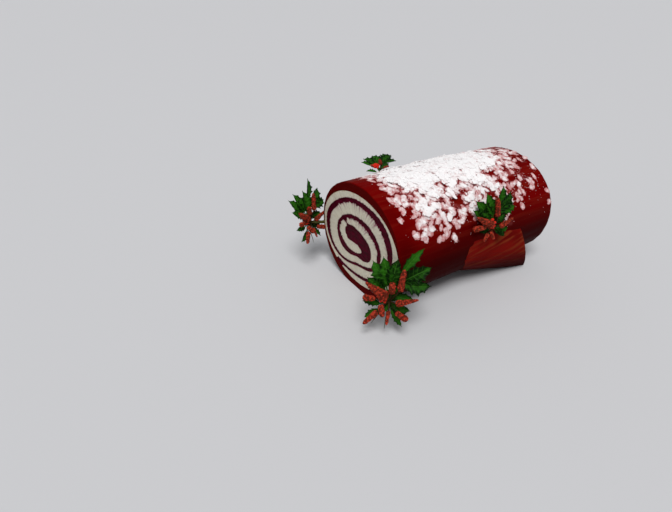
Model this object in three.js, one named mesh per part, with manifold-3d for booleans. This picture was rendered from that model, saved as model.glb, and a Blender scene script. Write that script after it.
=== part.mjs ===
// Yule log cake: a sponge rolled up with dark fruit jam, coated in red icing and covered with sugar
// flakes, with a branch stub set against one side and four sprigs of holly with berries.
// Millimetres. +X runs along the log from the cut face to the closed end, -Y is the side with the branch,
// +Z is up, and the origin is the middle of the flat base.

import * as THREE from "three";
import { ImprovedNoise } from "three/addons/math/ImprovedNoise.js";
import { mergeVertices } from "three/addons/utils/BufferGeometryUtils.js";
import Module from "manifold-3d";

const wasm = await Module();
wasm.setup();

// Driving dimensions.
const LOG_LENGTH = 154;
const LOG_WIDTH = 96;
const LOG_HEIGHT = 81.6;
const END_ROUNDING = 5.5;
const ICING_AT_SIDE = 1.5;
const ICING_AT_TOP = 6.4;
const ICING_AT_BASE = 5.2;
const ICING_AT_END = 7;
const SUGAR_DEPTH = 2.8;
const GAP = 0.3;
const BLOCK_SIZE = 400;
const SMALLEST_DETAIL = 0.06;
const SMALLEST_LEAF_DETAIL = 0.16;

const FRONT_X = -LOG_LENGTH / 2;
const BACK_X = LOG_LENGTH / 2;
const HALF_WIDTH = LOG_WIDTH / 2;
const HALF_HEIGHT = LOG_HEIGHT / 2;
const TURN = 2 * Math.PI;
const DEGREE = Math.PI / 180;

const COLOURS = {
  icing: 0x7a0a08,
  sponge: 0xf6efdc,
  jam: 0x4a0716,
  holly: 0x1f6b14,
  berries: 0xb8291a,
};

const bumps = new ImprovedNoise();

// Random numbers from a fixed seed, between 0 and 1.
function seededRandom(seed) {
  let state = seed;
  return () => {
    state = (state + 0x6d2b79f5) | 0;
    let mixed = Math.imul(state ^ (state >>> 15), 1 | state);
    mixed = (mixed + Math.imul(mixed ^ (mixed >>> 7), 61 | mixed)) ^ mixed;
    return ((mixed ^ (mixed >>> 14)) >>> 0) / 4294967296;
  };
}

// ---------- solids ----------

function solidFrom(geometry) {
  const bare = geometry.clone();
  bare.deleteAttribute("normal");
  bare.deleteAttribute("uv");
  const merged = mergeVertices(bare, 1e-5);
  return new wasm.Manifold(new wasm.Mesh({
    numProp: 3,
    vertProperties: merged.attributes.position.array,
    triVerts: merged.index.array,
  }));
}

function geometryFrom(solid) {
  const mesh = solid.getMesh();
  const geometry = new THREE.BufferGeometry();
  geometry.setAttribute("position", new THREE.BufferAttribute(new Float32Array(mesh.vertProperties), 3));
  geometry.setIndex(new THREE.BufferAttribute(new Uint32Array(mesh.triVerts), 1));
  geometry.computeVertexNormals();
  return geometry;
}

function joined(geometries) {
  return geometries.map(solidFrom).reduce((whole, piece) => whole.add(piece));
}

// The largest body of a solid, without the slivers and loose scraps that cuts have left.
function mainBody(solid, smallestDetail = SMALLEST_DETAIL) {
  const bodies = solid.simplify(smallestDetail).decompose();
  return bodies.reduce((best, body) => (body.volume() > best.volume() ? body : best));
}

// A closed skin over rings of equally many points, with a point in the middle of each end.
function loft(rings, startMiddle, endMiddle) {
  const across = rings[0].length;
  const points = rings.flat();
  const faces = [];
  rings.slice(1).forEach((ring, row) => {
    ring.forEach((point, column) => {
      const next = (column + 1) % across;
      const here = row * across;
      faces.push(here + column, here + next, here + across + column);
      faces.push(here + next, here + across + next, here + across + column);
    });
  });
  const lastRow = (rings.length - 1) * across;
  const start = points.push(startMiddle) - 1;
  const end = points.push(endMiddle) - 1;
  for (let column = 0; column < across; column += 1) {
    const next = (column + 1) % across;
    faces.push(start, next, column);
    faces.push(end, lastRow + column, lastRow + next);
  }
  const geometry = new THREE.BufferGeometry().setFromPoints(points);
  geometry.setIndex(enclosed(points, faces) > 0 ? faces : faces.reverse());
  return geometry;
}

// Six times the volume inside a set of triangles: positive when they face out.
function enclosed(points, faces) {
  let volume = 0;
  for (let f = 0; f < faces.length; f += 3) {
    const [a, b, c] = [points[faces[f]], points[faces[f + 1]], points[faces[f + 2]]];
    volume += a.dot(b.clone().cross(c));
  }
  return volume;
}

// A block that fills the side of a plane that its normal points to.
function blockBeyond(point, normal) {
  const block = new THREE.BoxGeometry(BLOCK_SIZE, BLOCK_SIZE, BLOCK_SIZE);
  block.translate(0, 0, BLOCK_SIZE / 2);
  const up = new THREE.Vector3(0, 0, 1);
  block.applyQuaternion(new THREE.Quaternion().setFromUnitVectors(up, normal.clone().normalize()));
  block.translate(point.x, point.y, point.z);
  return solidFrom(block);
}

function meshFrom(name, geometry, colour, roughness) {
  const material = new THREE.MeshStandardMaterial({ color: colour, roughness, metalness: 0 });
  const mesh = new THREE.Mesh(geometry, material);
  mesh.name = name;
  return mesh;
}

// ---------- outside of the log ----------

// The section is a low oval. Its lower half is fuller and flat underneath, as the cake sags where it rests.
const SAG_DEPTH = 42.2;
const SAG_POWER = 2.15;

// Distance from the section's middle to the icing, at an angle up from the -Y side.
function logRadius(angle) {
  const sine = Math.sin(angle);
  const power = sine < 0 ? SAG_POWER : 2;
  const depth = sine < 0 ? SAG_DEPTH : HALF_HEIGHT;
  const across = Math.abs(Math.cos(angle)) / HALF_WIDTH;
  const upward = Math.abs(sine) / depth;
  return (across ** power + upward ** power) ** (-1 / power);
}

function logPoint(x, angle, lift) {
  const radius = logRadius(angle) + lift;
  const height = HALF_HEIGHT + radius * Math.sin(angle);
  return new THREE.Vector3(x, -radius * Math.cos(angle), Math.max(0, height));
}

// The share of the icing that sugar covers: nearly all on top, thinning out down the sides and at both ends.
const SUGAR_FULL_ANGLE = 14;
const SUGAR_THIN_ANGLE = 54;
const SUGAR_LAST_ANGLE = 74;
const SUGAR_AT_SIDE = 0.58;
const SUGAR_AT_BACK = 0.4;
const SUGAR_FRONT_START = 5;
const SUGAR_FRONT_FULL = 24;
const SUGAR_BACK_START = 116;
const SUGAR_BACK_END = 138;

function sugarCover(x, angle) {
  const fromTop = Math.abs(angle / DEGREE - 90);
  const along = x - FRONT_X;
  const upper = THREE.MathUtils.smoothstep(fromTop, SUGAR_FULL_ANGLE, SUGAR_THIN_ANGLE);
  const lower = THREE.MathUtils.smoothstep(fromTop, SUGAR_THIN_ANGLE, SUGAR_LAST_ANGLE);
  const front = THREE.MathUtils.smoothstep(along, SUGAR_FRONT_START, SUGAR_FRONT_FULL);
  const back = THREE.MathUtils.smoothstep(along, SUGAR_BACK_START, SUGAR_BACK_END);
  const downTheSide = 1 - (1 - SUGAR_AT_SIDE) * upper - SUGAR_AT_SIDE * lower;
  return downTheSide * front * (1 - (1 - SUGAR_AT_BACK) * back);
}

const CLUMP_SIZE = 8;

function sugarDepth(x, angle) {
  if (angle < 0) {
    return 0;
  }
  const point = logPoint(x, angle, 0).divideScalar(CLUMP_SIZE);
  const grain = 0.5 + 0.75 * bumps.noise(point.x, point.y, point.z);
  const amount = 1.35 * sugarCover(x, angle) - 0.18 - grain;
  const clumps = 0.8 + 0.5 * bumps.noise(1.9 * point.x, 1.9 * point.y, 40);
  return SUGAR_DEPTH * clumps * THREE.MathUtils.smoothstep(amount, 0, 0.35);
}

// Shallow waves in the icing, which die out where the cake rests.
const WAVE_LENGTH = 26;
const WAVE_DEPTH = 0.6;

function icingWave(x, angle) {
  const point = logPoint(x, angle, 0).divideScalar(WAVE_LENGTH);
  const fade = THREE.MathUtils.smoothstep(Math.sin(angle), -0.85, -0.55);
  return fade * WAVE_DEPTH * (0.5 + 0.5 * bumps.noise(0.6 * point.x, point.y, point.z));
}

const AROUND_STEPS = 52;
const ALONG_STEPS = 26;
const ROUNDING_STEPS = 3;
const END_BULGE = 0.8;
const BULGE_RING_SHARE = 0.45;
const BULGE_RING_RISE = 0.5;

function logSkin(extra) {
  const corners = Array.from({ length: AROUND_STEPS }, (_, step) => step / AROUND_STEPS);
  const angles = corners.map((share) => TURN * share - Math.PI / 2);
  const ringAt = (x, inset, relief) => angles.map((angle) => {
    const lift = relief * (icingWave(x, angle) + sugarDepth(x, angle)) + extra - inset;
    return logPoint(x, angle, lift);
  });
  const rings = [];
  const straight = LOG_LENGTH - END_ROUNDING;
  for (let step = 0; step <= ALONG_STEPS; step += 1) {
    rings.push(ringAt(FRONT_X + (straight * step) / ALONG_STEPS, 0, 1));
  }
  for (let step = 1; step <= ROUNDING_STEPS; step += 1) {
    const bend = (step / ROUNDING_STEPS) * (Math.PI / 2);
    const x = BACK_X - END_ROUNDING * (1 - Math.sin(bend));
    rings.push(ringAt(x, END_ROUNDING * (1 - Math.cos(bend)), Math.cos(bend)));
  }
  const middle = new THREE.Vector3(0, 0, HALF_HEIGHT);
  const front = middle.clone().setX(FRONT_X);
  const back = middle.clone().setX(BACK_X + END_BULGE);
  rings.push(rings.at(-1).map((point) => (
    point.clone().lerp(back, BULGE_RING_SHARE).setX(BACK_X + BULGE_RING_RISE)
  )));
  return loft(rings, front, back);
}

const logKeepOut = solidFrom(logSkin(GAP + 0.15));

// ---------- sponge and jam ----------

// The roll fills an oval inside the icing. A point of it is given by its share of the way from the middle to
// the icing, and by how many turns the roll has made, clockwise from straight down as the cut face is seen.
const ROLL_HALF_WIDTH = HALF_WIDTH - ICING_AT_SIDE;
const ROLL_TOP = HALF_HEIGHT - ICING_AT_TOP;
const ROLL_BASE = HALF_HEIGHT - ICING_AT_BASE;
const STEPS_A_TURN = 44;

function rollPoint(share, turns, extra = 0) {
  const angle = -Math.PI / 2 - TURN * turns;
  const sine = Math.sin(angle);
  const height = sine < 0 ? ROLL_BASE : ROLL_TOP;
  const x = (share * ROLL_HALF_WIDTH + extra) * Math.cos(angle);
  return new THREE.Vector2(x, (share * height + extra) * sine);
}

// Values at each eighth of a turn, joined smoothly.
function alongEighths(values, turns) {
  const place = THREE.MathUtils.clamp(8 * turns, 0, values.length - 1.0001);
  const index = Math.floor(place);
  const at = (step) => values[THREE.MathUtils.clamp(index + step, 0, values.length - 1)];
  const [before, here, next, after] = [at(-1), at(0), at(1), at(2)];
  const t = place - index;
  const slopeHere = (next - before) / 2;
  const slopeNext = (after - here) / 2;
  const t2 = t * t;
  const t3 = t2 * t;
  return (2 * t3 - 3 * t2 + 1) * here + (t3 - 2 * t2 + t) * slopeHere
    + (3 * t2 - 2 * t3) * next + (t3 - t2) * slopeNext;
}

const JAM_MIDDLES = [
  0.345, 0.5, 0.55, 0.492, 0.467, 0.492, 0.556, 0.585,
  0.574, 0.868, 0.876, 0.808, 0.834, 0.854, 0.799, 0.812,
  0.835, 0.97,
];
const JAM_WIDTHS = [
  0.078, 0.16, 0.074, 0.084, 0.112, 0.13, 0.088, 0.07,
  0.067, 0.08, 0.108, 0.1, 0.115, 0.16, 0.092, 0.08,
  0.07, 0.05,
];
const CORE_EDGES = [0.11, 0.16, 0.345, 0.32, 0.237, 0.23, 0.333, 0.438, 0.384];
const JAM_END = 2.1;
const TONGUE_SHARES = [0.152, 0.216, 0.264];
const TONGUE_TURNS = [-0.06, -0.085, -0.06];
const TONGUE_GAPS = [-0.008, 0, 0.008];
const TONGUE_TIP_GAP = 0.012;
const TOOTH_DEPTH = 0.014;
const TEETH_A_TURN = 23;
const HALF_GAP = 0.0045;
const ROLL_END_TURNS = 0.05;
const SPONGE_END = 1 + JAM_END - 0.03;

// The crumb's edge is ragged where the jam has soaked in.
function tooth(turns, side) {
  return TOOTH_DEPTH * bumps.noise(TEETH_A_TURN * turns, 7.3 * side, 0.5);
}

function jamInside(turns) {
  return alongEighths(JAM_MIDDLES, turns) - alongEighths(JAM_WIDTHS, turns) / 2 + tooth(turns, 1);
}

function jamOutside(turns) {
  const edge = alongEighths(JAM_MIDDLES, turns) + alongEighths(JAM_WIDTHS, turns) / 2 + tooth(turns, 2);
  const roll = THREE.MathUtils.smoothstep(turns, JAM_END - ROLL_END_TURNS, JAM_END);
  return THREE.MathUtils.lerp(edge, 1, roll);
}

function coreEdge(turns) {
  return alongEighths(CORE_EDGES, turns) + 0.6 * tooth(turns, 3);
}

function stepsBetween(from, to) {
  const count = Math.max(1, Math.round(Math.abs(to - from) * STEPS_A_TURN));
  return Array.from({ length: count + 1 }, (_, step) => from + ((to - from) * step) / count);
}

function spongeOutline() {
  const tongue = TONGUE_SHARES.map((share, k) => rollPoint(share, TONGUE_TURNS[k]));
  const outward = stepsBetween(0, JAM_END).map((turns) => rollPoint(jamInside(turns) - HALF_GAP, turns));
  const rim = stepsBetween(JAM_END + 0.003, SPONGE_END).map((turns) => rollPoint(1, turns));
  const inward = stepsBetween(SPONGE_END, 1).map((turns) => (
    rollPoint(Math.min(0.99, jamOutside(turns - 1) + HALF_GAP), turns)
  ));
  const core = stepsBetween(1, 0).map((turns) => rollPoint(coreEdge(turns) + HALF_GAP, turns));
  return [...tongue, ...outward, ...rim, ...inward, ...core.slice(1)];
}

function jamOutline() {
  const tongue = TONGUE_SHARES.map((share, k) => {
    const turns = TONGUE_TURNS[k] - (TONGUE_GAPS[k] === 0 ? TONGUE_TIP_GAP : 0);
    return rollPoint(share + TONGUE_GAPS[k], turns);
  });
  const outer = stepsBetween(0, JAM_END).map((turns) => {
    const reach = Math.min(jamOutside(turns), 1 - 2 * HALF_GAP);
    return rollPoint(reach - HALF_GAP, turns);
  });
  const inner = stepsBetween(JAM_END, 0).map((turns) => rollPoint(jamInside(turns) + HALF_GAP, turns));
  const core = stepsBetween(0, 1).map((turns) => rollPoint(coreEdge(turns) - HALF_GAP, turns));
  return [...outer, ...inner, ...tongue.reverse(), ...core.slice(0, -1)];
}

const ROLL_LENGTH = LOG_LENGTH - ICING_AT_END;
const JAM_SUNK = 0.4;

function rollPiece(name, outline, recess, colour, roughness) {
  const geometry = new THREE.ExtrudeGeometry(new THREE.Shape(outline), {
    depth: ROLL_LENGTH - recess,
    bevelEnabled: false,
  });
  const mesh = meshFrom(name, geometry, colour, roughness);
  const back = FRONT_X + ROLL_LENGTH;
  const sideways = new THREE.Vector3(0, -1, 0);
  const upward = new THREE.Vector3(0, 0, 1);
  const forward = new THREE.Vector3(-1, 0, 0);
  mesh.quaternion.setFromRotationMatrix(new THREE.Matrix4().makeBasis(sideways, upward, forward));
  mesh.position.set(back, 0, HALF_HEIGHT);
  return mesh;
}

function rollHollow() {
  const outline = stepsBetween(0, 1).slice(1).map((turns) => rollPoint(1, turns, GAP));
  const mesh = rollPiece("hollow", outline, 0, COLOURS.icing, 1);
  mesh.updateMatrix();
  const geometry = mesh.geometry.applyMatrix4(mesh.matrix);
  geometry.scale(1.004, 1, 1);
  return solidFrom(geometry);
}

// ---------- sugar flakes ----------

const FLAKE_TRIES = 2600;
const FLAKE_LIMIT = 46;
const FLAKE_SPACING = 8.5;
const SPRIG_REACH = 21;
const FLAKE_SIDES = 5;
const FLAKE_THICKNESS = 2.2;
const FLAKE_PROUD = 0.95;

function flakeAt(x, angle, random) {
  const lift = icingWave(x, angle) + sugarDepth(x, angle);
  const place = logPoint(x, angle, lift + FLAKE_PROUD - FLAKE_THICKNESS / 2);
  const outward = new THREE.Vector3(0, -Math.cos(angle) / HALF_WIDTH, Math.sin(angle) / HALF_HEIGHT);
  const halfLength = 2.5 + 1.3 * random();
  const halfWidth = 1.9 + 0.8 * random();
  const outline = new THREE.Shape(Array.from({ length: FLAKE_SIDES }, (_, corner) => {
    const around = (TURN * (corner + 0.5 * random())) / FLAKE_SIDES;
    return new THREE.Vector2(halfLength * Math.cos(around), halfWidth * Math.sin(around));
  }));
  const flake = new THREE.ExtrudeGeometry(outline, { depth: FLAKE_THICKNESS, bevelEnabled: false });
  flake.translate(0, 0, -FLAKE_THICKNESS / 2);
  flake.rotateZ(Math.PI * random());
  flake.rotateX(0.16 * (random() - 0.5));
  const up = new THREE.Vector3(0, 0, 1);
  flake.applyQuaternion(new THREE.Quaternion().setFromUnitVectors(up, outward.normalize()));
  flake.translate(place.x, place.y, place.z);
  return flake;
}

// Single flakes lie where the sugar is thin, at least a flake apart and clear of the sprigs.
function scatteredFlakes(hubs) {
  const random = seededRandom(11);
  const places = [];
  const flakes = [];
  for (let attempt = 0; attempt < FLAKE_TRIES && flakes.length < FLAKE_LIMIT; attempt += 1) {
    const x = FRONT_X + 5 + (LOG_LENGTH - 18) * random();
    const angle = (10 + 160 * random()) * DEGREE;
    const cover = sugarCover(x, angle);
    const place = logPoint(x, angle, 0);
    const wanted = cover > 0.02 && cover < 0.75 && random() < 0.35 + cover;
    const clear = places.every((other) => other.distanceTo(place) > FLAKE_SPACING)
      && hubs.every((hub) => hub.distanceTo(place) > SPRIG_REACH);
    if (wanted && clear) {
      places.push(place);
      flakes.push(flakeAt(x, angle, random));
    }
  }
  return flakes;
}

// ---------- branch stub ----------

// A short length of roll, iced all over, slanting down along the log's side and trimmed flat underneath.
const STUB_RADIUS = 30.8;
const STUB_BAR_LENGTH = 220;
const STUB_SIDES = 42;
const STUB_SWING = -3.9 * DEGREE;
const STUB_DIP = -14.4 * DEGREE;
const STUB_PLACE = new THREE.Vector3(20, -20.1, 30.7);
const STUB_END_POINT = new THREE.Vector3(57.9, -46.6, 0);
const STUB_END_NORMAL = new THREE.Vector3(0.86, -0.4, 0.39);
const STUB_HEEL_POINT = new THREE.Vector3(-15, -47, 36);
const STUB_HEEL_NORMAL = new THREE.Vector3(-1, 0, 0.05);
const STUB_INNER_POINT = new THREE.Vector3(0, -24, 0);
const STUB_INNER_NORMAL = new THREE.Vector3(0, 1, 0);

function branchStub() {
  const direction = new THREE.Vector3(
    Math.cos(STUB_SWING) * Math.cos(STUB_DIP),
    Math.sin(STUB_SWING) * Math.cos(STUB_DIP),
    Math.sin(STUB_DIP),
  );
  const bar = new THREE.CylinderGeometry(STUB_RADIUS, STUB_RADIUS, STUB_BAR_LENGTH, STUB_SIDES, 1);
  bar.applyQuaternion(new THREE.Quaternion().setFromUnitVectors(new THREE.Vector3(0, 1, 0), direction));
  bar.translate(STUB_PLACE.x, STUB_PLACE.y, STUB_PLACE.z);
  const base = new THREE.Vector3(0, 0, 0);
  const down = new THREE.Vector3(0, 0, -1);
  const cut = solidFrom(bar)
    .subtract(blockBeyond(base, down))
    .subtract(blockBeyond(STUB_END_POINT, STUB_END_NORMAL))
    .subtract(blockBeyond(STUB_HEEL_POINT, STUB_HEEL_NORMAL))
    .subtract(blockBeyond(STUB_INNER_POINT, STUB_INNER_NORMAL));
  return mainBody(cut.subtract(logKeepOut));
}

// ---------- holly sprigs ----------

// A sprig comes fuller or slimmer. Each leaf of one: where its blade starts from the sprig's middle (right,
// up), its bearing in degrees, the blade's length and width, and how far it tilts out of the sprig's plane.
// Each spike of berries: the same, with its width at its two ends.
const FULL_SPRIG = {
  leaves: [
    { start: [-3.5, 6], bearing: 144, length: 14.5, width: 9.5, tilt: 14 },
    { start: [-2.5, 9], bearing: 122, length: 19, width: 10, tilt: 9 },
    { start: [-0.5, 10], bearing: 106, length: 19.5, width: 10, tilt: 12 },
    { start: [1.5, 9], bearing: 84, length: 19.5, width: 10.5, tilt: 16 },
    { start: [7, 19.5], bearing: 53, length: 20.5, width: 6.5, tilt: 8 },
    { start: [7.5, 14], bearing: 32, length: 20.5, width: 11, tilt: 12 },
    { start: [7.5, 12.5], bearing: 1, length: 18, width: 10.5, tilt: 14 },
    { start: [2.5, 4.2], bearing: -4, length: 13, width: 8, tilt: 20 },
    { start: [0.5, -2.2], bearing: -13, length: 14, width: 8, tilt: 14 },
    { start: [1.8, -6], bearing: -55, length: 13.2, width: 4.6, tilt: 8 },
    { start: [-6, -2.6], bearing: 175, length: 11.2, width: 5.5, tilt: 12 },
    { start: [-5, -6.5], bearing: 212, length: 12.3, width: 6, tilt: 8 },
  ],
  spikes: [
    { start: [-2.2, 2.7], bearing: 142, length: 18.1, widths: [8.6, 2.6], tilt: 22 },
    { start: [1.4, 6.1], bearing: 91, length: 8.2, widths: [4.6, 5], tilt: 20 },
    { start: [6.5, 8.6], bearing: 84, length: 16, widths: [5, 3.6], tilt: 20 },
    { start: [5, -0.4], bearing: 24, length: 16, widths: [5.2, 2], tilt: 26 },
    { start: [-9, 1.8], bearing: 174, length: 8.3, widths: [3.6, 5.2], tilt: 20 },
    { start: [-7.2, -7.1], bearing: 226, length: 12, widths: [4.6, 3.4], tilt: 12 },
    { start: [-5, -2.7], bearing: 284, length: 7.8, widths: [4.8, 4.2], tilt: 18 },
    { start: [0.4, -6.3], bearing: 265, length: 9, widths: [3.2, 2], tilt: 12 },
    { start: [5.1, -6.4], bearing: -25, length: 9, widths: [4.2, 5], tilt: 14 },
  ],
};
const SLIM_SPRIG = {
  leaves: [
    { start: [-3, 5.5], bearing: 150, length: 15.5, width: 8.5, tilt: 12 },
    { start: [-2.5, 7.5], bearing: 134, length: 17, width: 10, tilt: 10 },
    { start: [-1.2, 8.5], bearing: 106, length: 16, width: 9.5, tilt: 12 },
    { start: [3.5, 12], bearing: 76, length: 16, width: 8, tilt: 8 },
    { start: [2.8, 11], bearing: 54, length: 15.5, width: 9, tilt: 12 },
    { start: [3.5, 10.5], bearing: 11, length: 12.5, width: 8, tilt: 12 },
    { start: [0.8, 3], bearing: 38, length: 9.5, width: 7.5, tilt: 20 },
    { start: [1.6, -0.6], bearing: -12, length: 9.6, width: 7, tilt: 16 },
    { start: [1.8, -3.6], bearing: -33, length: 8.7, width: 5, tilt: 10 },
    { start: [-3.5, -2], bearing: 178, length: 9.2, width: 5, tilt: 12 },
  ],
  spikes: [
    { start: [-3.5, 1.7], bearing: 151, length: 18, widths: [7.4, 2.2], tilt: 16 },
    { start: [0.6, 8], bearing: 102, length: 14.5, widths: [4.6, 3.2], tilt: 14 },
    { start: [3.3, 0], bearing: 37, length: 10.5, widths: [4.6, 2], tilt: 20 },
    { start: [-8.9, 1.1], bearing: 179, length: 11, widths: [3.4, 5.2], tilt: 10 },
    { start: [-6.5, -4], bearing: 228, length: 6.5, widths: [3.4, 2.6], tilt: 10 },
    { start: [-4.2, -2.7], bearing: -73, length: 6.2, widths: [3.4, 2.6], tilt: 12 },
  ],
};
const LEAFY_SPRIG = {
  leaves: SLIM_SPRIG.leaves,
  spikes: [
    { start: [-3.5, 1.7], bearing: 162, length: 6, widths: [3.6, 2.6], tilt: 10 },
    { start: [0.6, 5], bearing: 96, length: 6.5, widths: [4, 3], tilt: 16 },
    { start: [3.3, 0], bearing: 26, length: 5.5, widths: [3.6, 2.4], tilt: 10 },
  ],
};
const LEAF_THICKNESS = 1.1;
const LEAF_STEPS = 4;
const LEAF_FOLD = 0.32;
const LEAF_DROOP = 0.012;
const LEAF_LAYER = 1;
const STALK_HALF_WIDTH = 0.7;
const TIP_HALF_WIDTH = 0.25;
const SPINE_REACH = 1.1;
const VALLEY_REACH = 0.84;
const TWIG_RADIUS = 1.7;
const SPIKE_STEPS = 4;
const SPIKE_SIDES = 5;
const SPIKE_STALK_RADIUS = 0.8;
const BEAD_REACH = 1.08;
const WAIST_REACH = 0.86;
const BERRY_LAYER = 4.2;
const BERRY_HUB = 2.4;
const BERRY_GAP = 0.4;

// Each sprig: its middle, the way it faces, and where its twig goes into the log.
const SPRIGS = [
  {
    name: "side",
    form: SLIM_SPRIG,
    hub: [4.6, -48.2, 51.5],
    facing: [-0.25, -0.93, 0.27],
    anchor: [6, -43.5, 49.5],
    size: 1,
  },
  {
    name: "shoulder",
    form: LEAFY_SPRIG,
    hub: [-31.5, 37, 70.8],
    facing: [-0.12, -0.2, 0.97],
    anchor: [-31.5, 35, 63],
    size: 0.86,
  },
  {
    name: "foot",
    form: FULL_SPRIG,
    hub: [-85, -49.5, 22.5],
    facing: [-0.62, -0.7, 0.36],
    anchor: [-72, -41.3, 19],
    size: 1,
  },
  {
    name: "rim",
    form: FULL_SPRIG,
    hub: [-90, 53, 35.4],
    facing: [0.3, -0.85, 0.42],
    anchor: [-73, 45.8, 35],
    size: 0.88,
  },
];

// The sprig's own axes: right, up and facing.
function sprigFrame(sprig) {
  const facing = new THREE.Vector3(...sprig.facing).normalize();
  const right = new THREE.Vector3(0, 0, 1).cross(facing).normalize();
  const up = facing.clone().cross(right);
  const basis = new THREE.Matrix4().makeBasis(right, up, facing);
  basis.scale(new THREE.Vector3(sprig.size, sprig.size, sprig.size));
  basis.setPosition(...sprig.hub);
  return basis;
}

// Half the width of a blade, as a share of the most, along its length: an oval with spiny edges.
function bladeReach(step) {
  const along = step / LEAF_STEPS;
  const oval = Math.sin(Math.PI * Math.min(0.98, 0.12 + 0.86 * along)) ** 0.8;
  return oval * (step % 2 === 0 ? VALLEY_REACH : SPINE_REACH);
}

// A leaf is a thin strip: a narrow stalk from the middle, then a blade folded at its rib. It can be grown
// on every side, to cut its place out of what it touches.
function leafSolid(leaf, grow) {
  const start = new THREE.Vector2(...leaf.start);
  const bearing = leaf.bearing * DEGREE;
  const way = new THREE.Vector2(Math.cos(bearing), Math.sin(bearing));
  const slope = Math.tan(leaf.tilt * DEGREE);
  const stalk = start.length();
  const ribAt = (along) => {
    const place = start.clone().addScaledVector(way, along * leaf.length);
    const reach = stalk + along * leaf.length;
    const droop = LEAF_DROOP * (along * leaf.length) ** 2;
    return new THREE.Vector3(place.x, place.y, LEAF_LAYER + slope * reach - droop);
  };
  const rings = [];
  const thick = LEAF_THICKNESS / 2 + grow;
  const ring = (rib, halfWidth) => {
    const side = new THREE.Vector3(-way.y, way.x, 0).multiplyScalar(halfWidth + grow);
    const fold = new THREE.Vector3(0, 0, LEAF_FOLD * halfWidth);
    const over = new THREE.Vector3(0, 0, thick);
    const left = rib.clone().add(side).add(fold);
    const right = rib.clone().sub(side).add(fold);
    rings.push([left, rib.clone().add(over), right, rib.clone().sub(over)]);
  };
  ring(new THREE.Vector3(0, 0, LEAF_LAYER), STALK_HALF_WIDTH);
  for (let step = 0; step <= LEAF_STEPS; step += 1) {
    const halfWidth = Math.max(TIP_HALF_WIDTH, (leaf.width / 2) * bladeReach(step));
    ring(ribAt(step / LEAF_STEPS), halfWidth);
  }
  const ends = [rings[0], rings.at(-1)].map((points) => (
    points.reduce((sum, point) => sum.add(point), new THREE.Vector3()).divideScalar(points.length)
  ));
  return loft(rings, ends[0], ends[1]);
}

// A spike is a stalk that carries a beaded cone of berries.
function spikeSolid(spike) {
  const start = new THREE.Vector2(...spike.start);
  const bearing = spike.bearing * DEGREE;
  const slope = Math.tan(spike.tilt * DEGREE);
  const way = new THREE.Vector3(Math.cos(bearing), Math.sin(bearing), slope).normalize();
  const side = new THREE.Vector3(0, 0, 1).cross(way).normalize();
  const over = way.clone().cross(side);
  const ringAt = (middle, radius, twist) => Array.from({ length: SPIKE_SIDES }, (_, corner) => {
    const around = (TURN * (corner + twist)) / SPIKE_SIDES;
    return middle.clone()
      .addScaledVector(side, radius * Math.cos(around))
      .addScaledVector(over, radius * Math.sin(around));
  });
  const hub = new THREE.Vector3(0, 0, BERRY_LAYER);
  const foot = new THREE.Vector3(start.x, start.y, BERRY_LAYER + slope * start.length());
  const rings = [ringAt(hub, SPIKE_STALK_RADIUS, 0), ringAt(foot, SPIKE_STALK_RADIUS, 0)];
  for (let step = 0; step < SPIKE_STEPS; step += 1) {
    const along = (step + 0.5) / SPIKE_STEPS;
    const width = THREE.MathUtils.lerp(spike.widths[0], spike.widths[1], along);
    const radius = (width / 2) * (step % 2 === 0 ? BEAD_REACH : WAIST_REACH);
    const middle = foot.clone().addScaledVector(way, along * spike.length);
    rings.push(ringAt(middle, radius, (step % 2) / 2));
  }
  const tip = foot.clone().addScaledVector(way, spike.length);
  return loft(rings, hub, tip);
}

function twigSolid(from, to, radius) {
  const length = from.distanceTo(to);
  const twig = new THREE.CylinderGeometry(radius, radius, length, 8, 1);
  const way = to.clone().sub(from).normalize();
  twig.applyQuaternion(new THREE.Quaternion().setFromUnitVectors(new THREE.Vector3(0, 1, 0), way));
  const middle = from.clone().lerp(to, 0.5);
  twig.translate(middle.x, middle.y, middle.z);
  return twig;
}

function sprigParts(sprig) {
  const basis = sprigFrame(sprig);
  const placed = (geometry) => geometry.applyMatrix4(basis);
  const spikes = sprig.form.spikes.map((spike) => placed(spikeSolid(spike)));
  const twigEnd = new THREE.Vector3(0, 0, 1.6 * LEAF_LAYER).applyMatrix4(basis);
  const anchor = new THREE.Vector3(...sprig.anchor);
  const leafSet = (grow) => sprig.form.leaves.map((leaf) => placed(leafSolid(leaf, grow)));
  const twig = (grow) => twigSolid(anchor, twigEnd, TWIG_RADIUS + grow);
  const berryHub = new THREE.IcosahedronGeometry(BERRY_HUB, 0).translate(0, 0, BERRY_LAYER);
  return {
    leaves: joined([...leafSet(0), twig(0)]),
    leavesGrown: joined([...leafSet(BERRY_GAP), twig(BERRY_GAP)]),
    twigGrown: solidFrom(twig(GAP)),
    berries: joined([...spikes, placed(berryHub)]),
  };
}

// ---------- assembly ----------

const cake = new THREE.Group();

const hubs = SPRIGS.map((sprig) => new THREE.Vector3(...sprig.hub));
const stub = branchStub();
const sprigs = SPRIGS.map((sprig) => ({ name: sprig.name, ...sprigParts(sprig) }));

let icing = joined([logSkin(0), ...scatteredFlakes(hubs)]);
icing = icing.subtract(rollHollow());
icing = icing.subtract(blockBeyond(new THREE.Vector3(FRONT_X, 0, 0), new THREE.Vector3(-1, 0, 0)));
sprigs.forEach((sprig) => {
  icing = icing.subtract(sprig.twigGrown);
});
icing = mainBody(icing);

cake.add(meshFrom("icing_coat", geometryFrom(icing), COLOURS.icing, 0.45));
cake.add(rollPiece("sponge_roll", spongeOutline(), 0, COLOURS.sponge, 0.95));
cake.add(rollPiece("jam_filling", jamOutline(), JAM_SUNK, COLOURS.jam, 0.35));
cake.add(meshFrom("branch_stub", geometryFrom(stub), COLOURS.icing, 0.45));

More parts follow.
